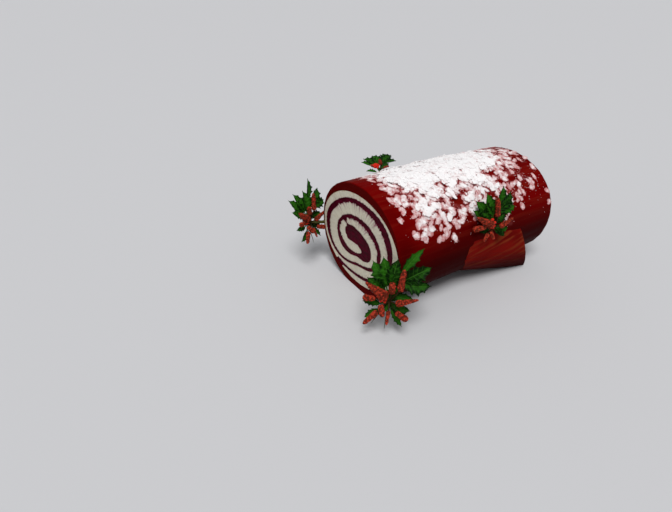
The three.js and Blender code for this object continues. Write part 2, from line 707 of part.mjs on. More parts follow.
sprigs.forEach((sprig) => {
  const leaves = mainBody(sprig.leaves.subtract(logKeepOut).subtract(stub), SMALLEST_LEAF_DETAIL);
  cake.add(meshFrom(`holly_${sprig.name}`, geometryFrom(leaves), COLOURS.holly, 0.4));
  const cut = sprig.berries.subtract(sprig.leavesGrown).subtract(logKeepOut);
  const berries = mainBody(cut, SMALLEST_LEAF_DETAIL);
  cake.add(meshFrom(`berries_${sprig.name}`, geometryFrom(berries), COLOURS.berries, 0.35));
});

export default cake;
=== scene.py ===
import math
import random

import bpy
import numpy as np
from mathutils import Matrix, Vector, kdtree, noise
from mathutils.geometry import delaunay_2d_cdt


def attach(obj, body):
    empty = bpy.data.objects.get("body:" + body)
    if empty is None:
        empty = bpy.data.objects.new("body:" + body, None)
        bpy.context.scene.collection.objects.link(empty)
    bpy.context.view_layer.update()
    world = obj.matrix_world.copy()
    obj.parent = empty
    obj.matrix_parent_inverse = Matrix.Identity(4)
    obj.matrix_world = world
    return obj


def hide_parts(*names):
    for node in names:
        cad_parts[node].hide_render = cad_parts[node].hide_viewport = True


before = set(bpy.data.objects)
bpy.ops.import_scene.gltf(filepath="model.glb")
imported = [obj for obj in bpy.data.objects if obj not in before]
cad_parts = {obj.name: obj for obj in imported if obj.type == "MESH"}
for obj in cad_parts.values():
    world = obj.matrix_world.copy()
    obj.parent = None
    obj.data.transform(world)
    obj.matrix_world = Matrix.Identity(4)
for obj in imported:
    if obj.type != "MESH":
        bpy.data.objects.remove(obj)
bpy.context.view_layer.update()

# ---------------------------------------------------------------------------------------------------
# Sponge roll. A thin sheet of pale sponge, spread with jam and rolled up from one short edge, then cut
# across with a knife. The cut shows open crumb, teeth of crumb pulled out into the jam, crumb soaked by
# the jam beside them, and a narrow browned skin at the rim.
MM = 0.001
CUT_X = -77 * MM
LOG_HALF_WIDTH = 48 * MM
LOG_HALF_HEIGHT = 40.8 * MM
ROLL_HALF_WIDTH = 46.5 * MM
ROLL_ABOVE = 34.4 * MM
ROLL_BELOW = 35.6 * MM
ROLL_BACK_X = 70 * MM
# The spiral on the cut, by turns of the roll counted from the bottom. Edges are given as shares of the way
# out to the roll's rim: the jam band's middle and width, and the rim of its core, every eighth of a turn.
JAM_MIDDLES = (
    0.345, 0.5, 0.55, 0.492, 0.467, 0.492, 0.556, 0.585,
    0.574, 0.868, 0.876, 0.808, 0.834, 0.86, 0.814, 0.816,
    0.835, 0.97,
)
JAM_WIDTHS = (
    0.078, 0.16, 0.074, 0.084, 0.112, 0.13, 0.088, 0.07,
    0.067, 0.08, 0.108, 0.1, 0.115, 0.16, 0.092, 0.08,
    0.07, 0.05,
)
CORE_EDGES = (0.11, 0.16, 0.345, 0.32, 0.237, 0.23, 0.333, 0.438, 0.384)
JAM_END = 2.1
ROLL_END_TURNS = 0.05
SPONGE_TAPER = 0.03
SPONGE_END = 1 + JAM_END - SPONGE_TAPER
# the rim belongs to the sponge from just past the jam's end, and the jam's outer edge stays inside a share
RIM_START = JAM_END + 0.003
JAM_REACH = 0.992
# the round end of the sponge's inner tongue, as shares and turns
TONGUE_SHARES = (0.152, 0.176, 0.214, 0.25, 0.268)
TONGUE_TURNS = (-0.055, -0.077, -0.086, -0.077, -0.055)


def roll_point(share, turns, extra=0.0):
    """A point of the cut (y, z): its share of the way out, and how many turns the roll has made."""
    angle = -math.pi / 2 - math.tau * turns
    height = ROLL_BELOW if math.sin(angle) < 0 else ROLL_ABOVE
    return Vector((
        -(share * ROLL_HALF_WIDTH + extra) * math.cos(angle),
        LOG_HALF_HEIGHT + (share * height + extra) * math.sin(angle),
    ))


def along_eighths(values, turns):
    """Values at each eighth of a turn, joined smoothly."""
    place = min(max(8 * turns, 0), len(values) - 1.0001)
    index = int(place)
    before, here, after, last = (values[min(max(index + k, 0), len(values) - 1)] for k in (-1, 0, 1, 2))
    t = place - index
    return (
        (2 * t**3 - 3 * t**2 + 1) * here
        + (t**3 - 2 * t**2 + t) * (after - before) / 2
        + (3 * t**2 - 2 * t**3) * after
        + (t**3 - t**2) * (last - here) / 2
    )


def smooth(value, low, high):
    """0 up to low, 1 from high on, and a soft slope between them."""
    t = min(max((value - low) / (high - low), 0), 1)
    return t * t * (3 - 2 * t)


# teeth of crumb along the jam; spacings in millimetres of arc
TEETH_DEPTH = 2.1 * MM
TEETH_SPACING = 2.6
TEETH_SHARPNESS = 2.6
FINE_TEETH_A_TOOTH = 2.1
TEETH_SHIFT = 0.9
TEETH_SHIFT_SPACING = 6.1
LOWER_TEETH = 0.4


def teeth(turns, share, seed):
    """Sharp teeth of crumb that point outwards, deepest over the top of the roll."""
    arc = turns * share * math.tau * ROLL_HALF_WIDTH / MM
    arc += TEETH_SHIFT * noise.noise((arc / TEETH_SHIFT_SPACING, seed, 4.5))
    fine = FINE_TEETH_A_TOOTH * arc
    broad = max(0.0, 1 - TEETH_SHARPNESS * abs(noise.noise((arc / TEETH_SPACING, seed, 0.5))))
    narrow = max(0.0, 1 - TEETH_SHARPNESS * abs(noise.noise((fine / TEETH_SPACING, seed, 9.5))))
    height = math.sin(-math.pi / 2 - math.tau * turns)
    upper = LOWER_TEETH + (1 - LOWER_TEETH) * smooth(height, -0.5, 0.6)
    return TEETH_DEPTH / ROLL_HALF_WIDTH * upper * (0.7 * broad + 0.4 * narrow - 0.5)


# the notch in the band over the start of the core, and the core's own corners: turns, half width, height
NOTCH_TURNS = 0.352
NOTCH_HALF_TURNS = 0.02
NOTCH_DEPTH = 0.075
CORE_CORNERS = ((0.185, 0.035, 0.045), (NOTCH_TURNS, 0.03, 0.05))


def peak(turns, middle, half_width):
    """1 at the middle, falling straight to 0 at the half width on both sides."""
    return max(0.0, 1 - abs(turns - middle) / half_width)


def jam_inner_edge(turns):
    """The edge of the jam band towards the roll's middle, with the teeth of the crumb inside it."""
    middle = along_eighths(JAM_MIDDLES, turns)
    notch = NOTCH_DEPTH * peak(turns, NOTCH_TURNS, NOTCH_HALF_TURNS)
    return middle - along_eighths(JAM_WIDTHS, turns) / 2 + teeth(turns, middle, 1) - notch


def jam_outer_edge(turns):
    """The edge of the jam band away from the middle; the band runs out to the rim at its end."""
    middle = along_eighths(JAM_MIDDLES, turns)
    edge = middle + along_eighths(JAM_WIDTHS, turns) / 2 - 0.35 * teeth(turns, middle, 2)
    rolled_out = smooth(turns, JAM_END - ROLL_END_TURNS, JAM_END)
    return edge + (1 - edge) * rolled_out


def core_edge(turns):
    """The rim of the thick core of jam in the middle of the roll."""
    share = along_eighths(CORE_EDGES, turns)
    corners = sum(height * peak(turns, middle, half_width) for middle, half_width, height in CORE_CORNERS)
    return share + corners - 0.3 * teeth(turns, share, 3)


EDGE_STEPS_A_TURN = 640


def steps(start, end):
    """Turns from start to end, close enough together for an edge to show its teeth."""
    count = max(1, round(abs(end - start) * EDGE_STEPS_A_TURN))
    return [start + (end - start) * k / count for k in range(count + 1)]


tongue = [roll_point(share, turns) for share, turns in zip(TONGUE_SHARES, TONGUE_TURNS)]
inner_edge = [roll_point(jam_inner_edge(t), t) for t in steps(0, JAM_END)]
outer_edge = [roll_point(min(JAM_REACH, jam_outer_edge(t)), t) for t in steps(0, SPONGE_END - 1)]
core_rim = [roll_point(core_edge(t), t) for t in steps(0, 1)]
roll_rim = [roll_point(1, t) for t in steps(RIM_START, SPONGE_END)]
outer_tail = [roll_point(min(JAM_REACH, jam_outer_edge(t)), t) for t in steps(SPONGE_END - 1, JAM_END)][1:]
sponge_outline = tongue + inner_edge + roll_rim + outer_edge[::-1] + core_rim[-2::-1]
jam_outline = tongue[::-1] + core_rim + outer_edge[1:] + outer_tail + inner_edge[::-1]


def mesh_piece(name, points, faces, smooth_faces=True):
    """A new object with this mesh."""
    mesh = bpy.data.meshes.new(name)
    mesh.from_pydata(points, [], faces)
    mesh.validate()
    mesh.shade_smooth() if smooth_faces else mesh.shade_flat()
    piece = bpy.data.objects.new(name, mesh)
    bpy.context.scene.collection.objects.link(piece)
    return piece


def point_value(piece, name, values):
    """A number at each point of a mesh, which its material can read."""
    attribute = piece.data.attributes.new(name, "FLOAT", "POINT")
    attribute.data.foreach_set("value", np.asarray(values, np.float32))


def finder_of(spots):
    """Finds the nearest of many spots on the cut."""
    finder = kdtree.KDTree(len(spots))
    for k, spot in enumerate(spots):
        finder.insert((spot.x, spot.y, 0), k)
    finder.balance()
    return finder


def away_from(finder, spot):
    """How far a spot is from the nearest of the finder's spots."""
    return finder.find((spot.x, spot.y, 0))[2]


def filled(spots, sides):
    """Triangles over flat spots, inside the closed outline that the sides make."""
    flat, _, triangles, *_ = delaunay_2d_cdt(spots, sides, [], 1, 1e-7)
    return flat, triangles


# the cut face is meshed at the spacing of its crumb, shifted by a share of it so that no rows show, and
# kept clear of the outline by a share; a bend over the crease angle stays a sharp edge
CLEAR_SHARE = 0.6
CUT_CREASE = math.radians(50)
SHORTEST_STEP = 0.02 * MM
CRUMB_SPACING = 0.56 * MM
CRUMB_SHIFT = 0.2


def cut_slab(name, outline, relief):
    """A piece with one outline all along the log, its cut face meshed finely, and that face's points."""
    loop = [p for k, p in enumerate(outline) if (p - outline[k - 1]).length > SHORTEST_STEP]
    edge_finder = finder_of(loop)
    draw = random.Random(5)
    spots = list(loop)
    for row in range(int((ROLL_ABOVE + ROLL_BELOW) / CRUMB_SPACING) + 1):
        for column in range(int(2 * ROLL_HALF_WIDTH / CRUMB_SPACING) + 1):
            across = (column + 0.5 * (row % 2) + draw.uniform(-CRUMB_SHIFT, CRUMB_SHIFT)) * CRUMB_SPACING
            up = (row + draw.uniform(-CRUMB_SHIFT, CRUMB_SHIFT)) * CRUMB_SPACING
            spot = Vector((across - ROLL_HALF_WIDTH, up + LOG_HALF_HEIGHT - ROLL_BELOW))
            if away_from(edge_finder, spot) > CLEAR_SHARE * CRUMB_SPACING:
                spots.append(spot)
    sides = [(k, (k + 1) % len(loop)) for k in range(len(loop))]
    flat, triangles = filled(spots, sides)
    points = [(CUT_X + relief(p, away_from(edge_finder, p)), p.x, p.y) for p in flat]
    border = {}
    for a, b, c in triangles:
        for start, end in ((a, b), (b, c), (c, a)):
            if border.pop((end, start), None) is None:
                border[(start, end)] = True
    border_points = sorted({a for side in border for a in side})
    behind = {a: len(points) + k for k, a in enumerate(border_points)}
    points += [(ROLL_BACK_X, flat[a].x, flat[a].y) for a in border_points]
    place = {a: k for k, a in enumerate(border_points)}
    back_sides = [(place[a], place[b]) for a, b in border]
    back_flat, back_triangles = filled([flat[a] for a in border_points], back_sides)
    border_finder = finder_of([flat[a] for a in border_points])
    back = [behind[border_points[border_finder.find((p.x, p.y, 0))[1]]] for p in back_flat]
    faces = [(c, b, a) for a, b, c in triangles]
    faces += [(a, b, behind[b], behind[a]) for a, b in border]
    faces += [(back[a], back[b], back[c]) for a, b, c in back_triangles]
    piece = mesh_piece(name, points, faces)
    piece.data.set_sharp_from_angle(angle=CUT_CREASE)
    return piece, flat


CELL_WAVES = (0.95, 1.9)
PORE_DEPTH = 0.42 * MM
PORE_START = 0.18
PULL_DEPTH = 0.14 * MM
PULL_WAVES = 0.22


def crumb_relief(spot, near_edge):
    """Pits where the knife has opened air cells, over soft pulls that run out from the middle."""
    place = Vector((spot.x, spot.y, 0)) / MM
    wide, fine = CELL_WAVES
    cells = noise.noise(place * wide) + 0.6 * noise.noise(place * fine + Vector((3, 1, 0)))
    pit = max(0.0, cells - PORE_START)
    pull = PULL_DEPTH * noise.noise(place * PULL_WAVES)
    return pull + PORE_DEPTH * pit * (1 if near_edge > 0.3 * MM else 0.4)


def value_in(tree, kind, **inputs):
    """A shader node with its unlinked inputs set by name."""
    node = tree.nodes.new(kind)
    for name, value in inputs.items():
        node.inputs[name].default_value = value
    return node


def colour_mix(tree, factor, below, above):
    """below where the factor is 0, above where it is 1; each is a colour or a socket."""
    mix = tree.nodes.new("ShaderNodeMix")
    mix.data_type = "RGBA"
    for socket, value in ((mix.inputs[0], factor), (mix.inputs[6], below), (mix.inputs[7], above)):
        if isinstance(value, bpy.types.NodeSocket):
            tree.links.new(value, socket)
        else:
            socket.default_value = value
    return mix.outputs[2]


def fine_noise(tree, where, scale, detail=2.0, stretch=(1, 1, 1)):
    """Noise in object space, with its scale in waves to the metre, stretched along an axis."""
    if stretch != (1, 1, 1):
        mapping = tree.nodes.new("ShaderNodeMapping")
        mapping.inputs["Scale"].default_value = stretch
        tree.links.new(where, mapping.inputs["Vector"])
        where = mapping.outputs["Vector"]
    texture = value_in(tree, "ShaderNodeTexNoise", Scale=scale, Detail=detail)
    tree.links.new(where, texture.inputs["Vector"])
    return texture.outputs["Fac"]


def between(tree, source, low, high, to_low=0.0, to_high=1.0):
    """The source, spread from low..high to to_low..to_high and held there."""
    spread = tree.nodes.new("ShaderNodeMapRange")
    spread.interpolation_type = "SMOOTHSTEP"
    tree.links.new(source, spread.inputs["Value"])
    for name, value in (("From Min", low), ("From Max", high), ("To Min", to_low), ("To Max", to_high)):
        spread.inputs[name].default_value = value
    return spread.outputs["Result"]


def calculated(tree, operation, first, second=0.0):
    """One operation on one or two values; each is a number or a socket."""
    math_node = tree.nodes.new("ShaderNodeMath")
    math_node.operation = operation
    for socket, value in zip(math_node.inputs, (first, second)):
        if isinstance(value, bpy.types.NodeSocket):
            tree.links.new(value, socket)
        else:
            socket.default_value = value
    return math_node.outputs[0]


def bumped(tree, shader, height, depth, strength):
    """Gives the surface fine relief, as deep as the depth where the height is 1."""
    bump = value_in(tree, "ShaderNodeBump", Distance=depth, Strength=strength)
    tree.links.new(height, bump.inputs["Height"])
    tree.links.new(bump.outputs["Normal"], shader.inputs["Normal"])


def new_finish(name, **constants):
    """A material, its node tree, its shader, and where its points are in the cake's frame."""
    material = bpy.data.materials.new(name)
    material.use_nodes = True
    tree = material.node_tree
    shader = tree.nodes["Principled BSDF"]
    for socket, value in constants.items():
        shader.inputs[socket.replace("_", " ")].default_value = value
    where = tree.nodes.new("ShaderNodeTexCoord").outputs["Object"]
    return material, tree, shader, where


def attribute_value(tree, name):
    """A number that the mesh carries at its points."""
    reader = tree.nodes.new("ShaderNodeAttribute")
    reader.attribute_name = name
    return reader.outputs["Fac"]


CRUMB = (0.69, 0.655, 0.53, 1)
CRUMB_DEEP = (0.51, 0.455, 0.345, 1)
CRUMB_SOAKED = (0.24, 0.06, 0.115, 1)
BROWNED_SKIN = (0.40, 0.22, 0.08, 1)
# grain sizes are in waves to the metre, in this finish and in all that follow
CRUMB_GRAIN = 900
CRUMB_CLOUDS = 110
CRUMB_BUMP = 0.5 * MM

crumb, tree, shader, where = new_finish("sponge_crumb", Roughness=0.92, Specular_IOR_Level=0.05)
shader.inputs["Subsurface Weight"].default_value = 0.08
shader.inputs["Subsurface Radius"].default_value = (1.0, 0.75, 0.5)
shader.inputs["Subsurface Scale"].default_value = 1.0 * MM
cells = fine_noise(tree, where, CRUMB_GRAIN, 3)
clouds = fine_noise(tree, where, CRUMB_CLOUDS, 3)
colour = colour_mix(tree, between(tree, cells, 0.56, 0.72, 0, 0.7), CRUMB, CRUMB_DEEP)
colour = colour_mix(tree, between(tree, clouds, 0.5, 0.72, 0, 0.35), colour, CRUMB_DEEP)
lines = calculated(tree, "MULTIPLY", attribute_value(tree, "pulled"), 0.4)
colour = colour_mix(tree, lines, colour, CRUMB_DEEP)
colour = colour_mix(tree, attribute_value(tree, "browned"), colour, BROWNED_SKIN)
colour = colour_mix(tree, attribute_value(tree, "soak"), colour, CRUMB_SOAKED)
tree.links.new(colour, shader.inputs["Base Color"])
bumped(tree, shader, cells, CRUMB_BUMP, 0.5)

# how far the jam has soaked in, the pulled lines of the crumb, and the browned skin in its patches
SOAK_REACH = 0.5 * MM
SOAK_STREAK = 2.3 * MM
SOAK_STREAKS_AROUND = 38
PULLS_AROUND = 60
PULL_LENGTH = 9 * MM
BROWNED_REACH = 0.45 * MM
BROWNED_PATCH = 7 * MM

sponge, flat = cut_slab("sponge", sponge_outline, crumb_relief)
to_inner, to_outer, to_core, to_rim = (
    finder_of(edge) for edge in (inner_edge, outer_edge, core_rim + tongue, roll_rim)
)
soak, browned, pulled = [], [], []
for spot in flat:
    bearing = math.atan2(spot.y - LOG_HALF_HEIGHT, spot.x)
    upper = 0.15 + 0.85 * smooth(math.sin(bearing), -0.2, 0.75)
    around = SOAK_STREAKS_AROUND * math.cos(bearing), SOAK_STREAKS_AROUND * math.sin(bearing)
    streak = max(0.0, noise.noise((*around, 2.5)) - 0.02) * upper
    beside_teeth = math.exp(-away_from(to_inner, spot) / (SOAK_REACH + 2.0 * streak * SOAK_STREAK))
    beside_jam = math.exp(-min(away_from(to_outer, spot), away_from(to_core, spot)) / (0.6 * SOAK_REACH))
    soak.append(min(0.8, 0.3 * beside_teeth + 1.7 * beside_teeth * streak + 0.4 * beside_jam))
    reach = math.hypot(spot.x, spot.y - LOG_HALF_HEIGHT)
    around = PULLS_AROUND * math.cos(bearing), PULLS_AROUND * math.sin(bearing)
    line = noise.noise((*around, reach / PULL_LENGTH))
    pulled.append(min(1.0, max(0.0, 0.35 + 1.3 * line)))
    patch = 0.5 + 1.2 * noise.noise(Vector((spot.x, spot.y, BROWNED_PATCH)) / BROWNED_PATCH)
    browned.append(0.6 * math.exp(-away_from(to_rim, spot) / BROWNED_REACH) * min(1.0, max(0.0, patch)))
behind = [0.0] * (len(sponge.data.vertices) - len(flat))
for name, values in (("soak", soak), ("browned", browned), ("pulled", pulled)):
    point_value(sponge, name, values + behind)
sponge.data.materials.append(crumb)
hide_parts("sponge_roll")
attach(sponge, "root")

# ---------------------------------------------------------------------------------------------------
# Jam. Dark fruit jam, spread over the sponge before rolling. It shows as a spiral band and a thick core,
# a little sunk behind the crumb, moist and unevenly smeared by the knife.
JAM_SUNK = 0.35 * MM
JAM_SUNK_WITHIN = 0.5 * MM
JAM_SMEAR = 0.16 * MM
JAM_RIPPLE = 0.06 * MM
JAM_SMEARS = 260
JAM_BUMP = 0.4 * MM
JAM_DARK = (0.046, 0.0003, 0.006, 1)
JAM_THIN = (0.080, 0.0006, 0.012, 1)


def jam_relief(spot, near_edge):
    """Sunk behind the crumb, with broad smears of the knife and small ripples."""
    place = Vector((spot.x, spot.y, 4)) / MM
    smear = JAM_SMEAR * noise.noise(Vector((place.x * 0.35, place.y * 0.9, 4)))
    ripple = JAM_RIPPLE * noise.noise(place * 1.3)
    return JAM_SUNK * min(1.0, near_edge / JAM_SUNK_WITHIN) + smear + ripple


jam_finish, tree, shader, where = new_finish("fruit_jam", Specular_IOR_Level=0.02)
smears = fine_noise(tree, where, JAM_SMEARS, 3, (1, 0.5, 1.4))
colour = colour_mix(tree, between(tree, smears, 0.4, 0.66), JAM_DARK, JAM_THIN)
tree.links.new(colour, shader.inputs["Base Color"])
tree.links.new(between(tree, smears, 0.35, 0.7, 0.32, 0.5), shader.inputs["Roughness"])
bumped(tree, shader, smears, JAM_BUMP, 0.4)

jam, _ = cut_slab("jam", jam_outline, jam_relief)
jam.data.materials.append(jam_finish)
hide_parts("jam_filling")
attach(jam, "root")

# ---------------------------------------------------------------------------------------------------
# Icing coat. Dark red icing spread around the roll and over its closed end, drawn along with a palette
# knife so that it keeps long faint streaks. It is thicker on top and where the cake rests, and cut clean
# with the roll, where it looks a little darker. Painted shade darkens its colour down the lower sides.
# Icing sugar lies on top of it as an uneven white drift.
LOG_BACK_X = 77 * MM
END_ROUNDING = 5.5 * MM
END_BULGE = 2.0 * MM
SAG_DEPTH = 42.2 * MM
SAG_POWER = 2.15
WAVE_LENGTH = 26 * MM
WAVE_DEPTH = 0.6 * MM
STREAK_DEPTH = 0.32 * MM
STREAK_LENGTH = 60 * MM
STREAKS_A_RADIAN = 11


def log_radius(angle):
    """From the section's middle to the icing, at an angle up from the -Y side."""
    sine = math.sin(angle)
    power, depth = (SAG_POWER, SAG_DEPTH) if sine < 0 else (2, LOG_HALF_HEIGHT)
    across = abs(math.cos(angle)) / LOG_HALF_WIDTH
    return (across ** power + (abs(sine) / depth) ** power) ** (-1 / power)


def log_point(x, angle, lift):
    """A point over the plain form of the log, flat where it rests."""
    radius = log_radius(angle) + lift
    return Vector((x, -radius * math.cos(angle), max(0.0, LOG_HALF_HEIGHT + radius * math.sin(angle))))


def log_normal(angle):
    """The way out of the log at an angle."""
    height = LOG_HALF_HEIGHT if math.sin(angle) > 0 else SAG_DEPTH
    return Vector((0, -math.cos(angle) / LOG_HALF_WIDTH, math.sin(angle) / height)).normalized()


# The share of the icing that sugar covers, at every ten degrees from the side up to the top.
COVER_UP = (0.0, 0.04, 0.22, 0.52, 0.66, 0.68, 0.78, 0.92, 0.97, 0.98)
# Spots left bare: where along the log, at which angle, and half their length and height.
BARE_PATCHES = (
    (-17 * MM, math.radians(42.7), 5 * MM, 4.5 * MM),
    (26 * MM, math.radians(60), 5 * MM, 3.5 * MM),
    (41.5 * MM, math.radians(48), 3.5 * MM, 3 * MM),
    (61 * MM, math.radians(58), 3.5 * MM, 6 * MM),
)
# Where it thins out, in millimetres from the cut: behind the cut, down the sides and on the crown.
COVER_FRONT = (5, 30)
SIDE_LOSSES = ((0.42, 96, 114), (0.42, 128, 148))
CROWN_LOSSES = ((0.5, 108, 134), (0.25, 128, 148))
PATCH_SIZE = 10 * MM
PATCH_RIM_SIZE = 4.5 * MM
DRIFT_DEPTH = 2.4 * MM
DRIFT_GRAIN = 2.4 * MM
# clumps of the drift, in millimetres
DRIFT_CLUMP = 4.5
DRIFT_LUMP = 1.7


def sugar_cover(x, angle):
    """The share that sugar covers: nearly all on top, less down the sides and towards the ends."""
    up = 90 - abs(math.degrees(angle) - 90)
    if up <= 0:
        return 0.0
    place = min(up / 10, len(COVER_UP) - 1.001)
    step = int(place)
    cover = COVER_UP[step] + (COVER_UP[step + 1] - COVER_UP[step]) * (place - step)
    along = (x - CUT_X) / MM
    front = smooth(along, *COVER_FRONT)
    side_loss = sum(loss * smooth(along, start, end) for loss, start, end in SIDE_LOSSES)
    crown_loss = sum(loss * smooth(along, start, end) for loss, start, end in CROWN_LOSSES)
    back = 1 - side_loss - (crown_loss - side_loss) * smooth(up, 60, 76)
    spot = log_point(x, angle, 0)
    patch = noise.noise(spot / PATCH_SIZE + Vector((5, 2, 7)))
    rim = noise.noise(spot / PATCH_RIM_SIZE + Vector((1, 8, 3)))
    clumping = (1 - 0.75 * smooth(up, 52, 72) * back) * (1 - 0.6 * smooth(along, 104, 124))
    uneven = cover * front * back + (0.55 * patch + 0.3 * rim) * clumping
    for bare_x, bare_angle, half_long, half_high in BARE_PATCHES:
        away = ((x - bare_x) / half_long) ** 2 + ((angle - bare_angle) * LOG_HALF_WIDTH / half_high) ** 2
        uneven -= 2 * max(0.0, 1 - away**2)
    return min(1.0, max(0.0, uneven)) if cover * front > 0.01 else 0.0


def sugar_drift(x, angle):
    """From 0 on bare icing to 1 where the sugar lies thick, in uneven clumps."""
    cover = sugar_cover(x, angle)
    if cover < 0.5:
        return 0.0
    grain = noise.noise(log_point(x, angle, 0) / DRIFT_GRAIN)
    return smooth(cover + 0.22 * grain, 0.62, 0.94)


def sugar_dust(x, angle):
    """How thickly fine sugar dusts the icing between the flakes."""
    return 0.5 * smooth(sugar_cover(x, angle), 0.3, 0.8)


def drift_lift(x, angle):
    """How far the drift of sugar rises over the icing."""
    drift = sugar_drift(x, angle)
    if drift == 0:
        return 0.0
    place = log_point(x, angle, 0) / MM
    clumps = 0.62 + 0.4 * noise.noise(place / DRIFT_CLUMP) + 0.22 * noise.noise(place / DRIFT_LUMP)
    return DRIFT_DEPTH * clumps * drift


def icing_wave(x, angle):
    """How far the spread icing rises over the plain form: soft waves and the knife's streaks."""
    fade = smooth(math.sin(angle), -0.85, -0.55)
    place = log_point(x, angle, 0)
    wave = WAVE_DEPTH * (0.8 + 0.5 * noise.noise(place * 0.6 / WAVE_LENGTH))
    streak = STREAK_DEPTH * noise.noise(Vector((x / STREAK_LENGTH, angle * STREAKS_A_RADIAN, 2.5)))
    return fade * (wave + streak)


def loft(rings, start, end):
    """Points and faces of a closed skin over rings of equally many points, closed at both ends."""
    across = len(rings[0])
    points = [p for ring in rings for p in ring] + [start, end]
    faces = []
    for row in range(len(rings) - 1):
        here, after = row * across, (row + 1) * across
        for k in range(across):
            following = (k + 1) % across
            faces.append((here + k, after + k, after + following, here + following))
    last = (len(rings) - 1) * across
    for k in range(across):
        following = (k + 1) % across
        faces.append((len(points) - 2, k, following))
        faces.append((len(points) - 1, last + following, last + k))
    return points, faces


COAT_AROUND = 300
COAT_RINGS = 170
CUT_RING_SHARES = (0, 0.15, 0.3, 0.45, 0.6, 0.75, 0.88, 1)
CUT_BEVEL = 0.5 * MM
CUT_RIPPLE = 0.12 * MM
CUT_RIPPLE_SIZE = 2.5 * MM
ROUNDING_RINGS = 9
END_RINGS = 16
END_SWIRL = 0.35 * MM
COAT_CREASE = math.radians(55)
# room between the roll and the hollow that it lies in, around it and behind it
ROOM_AROUND = 0.12 * MM
ROOM_BEHIND = 0.1 * MM

angles = [math.tau * k / COAT_AROUND - math.pi / 2 for k in range(COAT_AROUND)]
hollow = [roll_point(1, (-math.pi / 2 - a) / math.tau, ROOM_AROUND) for a in angles]
hollow_end_x = ROLL_BACK_X + ROOM_BEHIND
bare = [0.0] * COAT_AROUND
rings, drifts, dusts = [], [], []


def add_ring(ring, drift=bare, dust=bare):
    """One ring of the coat, with the drift and the dust of sugar at each of its points."""
    rings.append(ring)
    drifts.append(drift)
    dusts.append(dust)


add_ring([Vector((hollow_end_x, p.x, p.y)) for p in hollow])
for share in CUT_RING_SHARES:
    ring = []
    for angle, p in zip(angles, hollow):
        inner = Vector((CUT_X, p.x, p.y))
        outer = log_point(CUT_X, angle, icing_wave(CUT_X, angle) - CUT_BEVEL)
        spot = inner.lerp(outer, share)
        ripple = noise.noise(Vector((0, spot.y, spot.z)) / CUT_RIPPLE_SIZE)
        spot.x += CUT_RIPPLE * ripple if 0 < share < 1 else 0
        ring.append(spot)
    add_ring(ring)
cut_rings = len(rings)
straight_start = CUT_X + CUT_BEVEL
straight = LOG_BACK_X - END_ROUNDING - straight_start
for k in range(COAT_RINGS + 1):
    x = straight_start + straight * k / COAT_RINGS
    ring = [log_point(x, a, icing_wave(x, a) + drift_lift(x, a)) for a in angles]
    add_ring(ring, [sugar_drift(x, a) for a in angles], [sugar_dust(x, a) for a in angles])
for k in range(1, ROUNDING_RINGS + 1):
    bend = math.pi / 2 * k / ROUNDING_RINGS
    x = LOG_BACK_X - END_ROUNDING * (1 - math.sin(bend))
    inset = END_ROUNDING * (1 - math.cos(bend))
    keep = math.cos(bend)
    lifts = [keep * (icing_wave(x, a) + drift_lift(x, a)) - inset for a in angles]
    ring = [log_point(x, a, lift) for a, lift in zip(angles, lifts)]
    add_ring(ring, [keep * sugar_drift(x, a) for a in angles], [keep * sugar_dust(x, a) for a in angles])
end_middle = Vector((LOG_BACK_X + END_BULGE, 0, LOG_HALF_HEIGHT))
end_rim = rings[-1]
for k in range(1, END_RINGS):
    share = k / END_RINGS
    ring = []
    for p in end_rim:
        spot = p.lerp(end_middle, share)
        turn = math.atan2(spot.z - LOG_HALF_HEIGHT, spot.y)
        reach = math.hypot(spot.y, spot.z - LOG_HALF_HEIGHT) / MM
        swirl = noise.noise(Vector((reach / 4 - 1.1 * turn, 1.5, 6))) * abs(math.cos(turn / 2)) ** 0.3
        bulge = END_BULGE * smooth(share, 0, 0.7)
        spot.x = LOG_BACK_X + bulge + END_SWIRL * swirl * smooth(share, 0, 0.15)
        ring.append(spot)
    add_ring(ring)
points, faces = loft(rings, Vector((hollow_end_x, 0, LOG_HALF_HEIGHT)), end_middle)
coat = mesh_piece("icing", points, faces)
point_value(coat, "sugar", [d for row in drifts for d in row] + [0, 0])
point_value(coat, "dust", [d for row in dusts for d in row] + [0, 0])
on_cut = [1.0] * (cut_rings * COAT_AROUND) + [0.0] * ((len(rings) - cut_rings) * COAT_AROUND)
point_value(coat, "cut", on_cut + [1, 0])
coat.data.set_sharp_from_angle(angle=COAT_CREASE)


STREAKS = 330
STREAK_STRETCH = (0.07, 1, 1)
PATCHES = 42
PATCH_STRETCH = (0.6, 1, 1)


def icing_group():
    """Streaks that the knife leaves in icing, drawn out along X, and broad uneven patches."""
    tree = bpy.data.node_groups.new("drawn_icing", "ShaderNodeTree")
    tree.interface.new_socket("Along", in_out="INPUT", socket_type="NodeSocketVector")
    for name in ("Streaks", "Patches"):
        tree.interface.new_socket(name, in_out="OUTPUT", socket_type="NodeSocketFloat")
    entry = tree.nodes.new("NodeGroupInput")
    way_out = tree.nodes.new("NodeGroupOutput")
    tree.links.new(fine_noise(tree, entry.outputs[0], STREAKS, 4, STREAK_STRETCH), way_out.inputs[0])
    tree.links.new(fine_noise(tree, entry.outputs[0], PATCHES, 2, PATCH_STRETCH), way_out.inputs[1])
    return tree
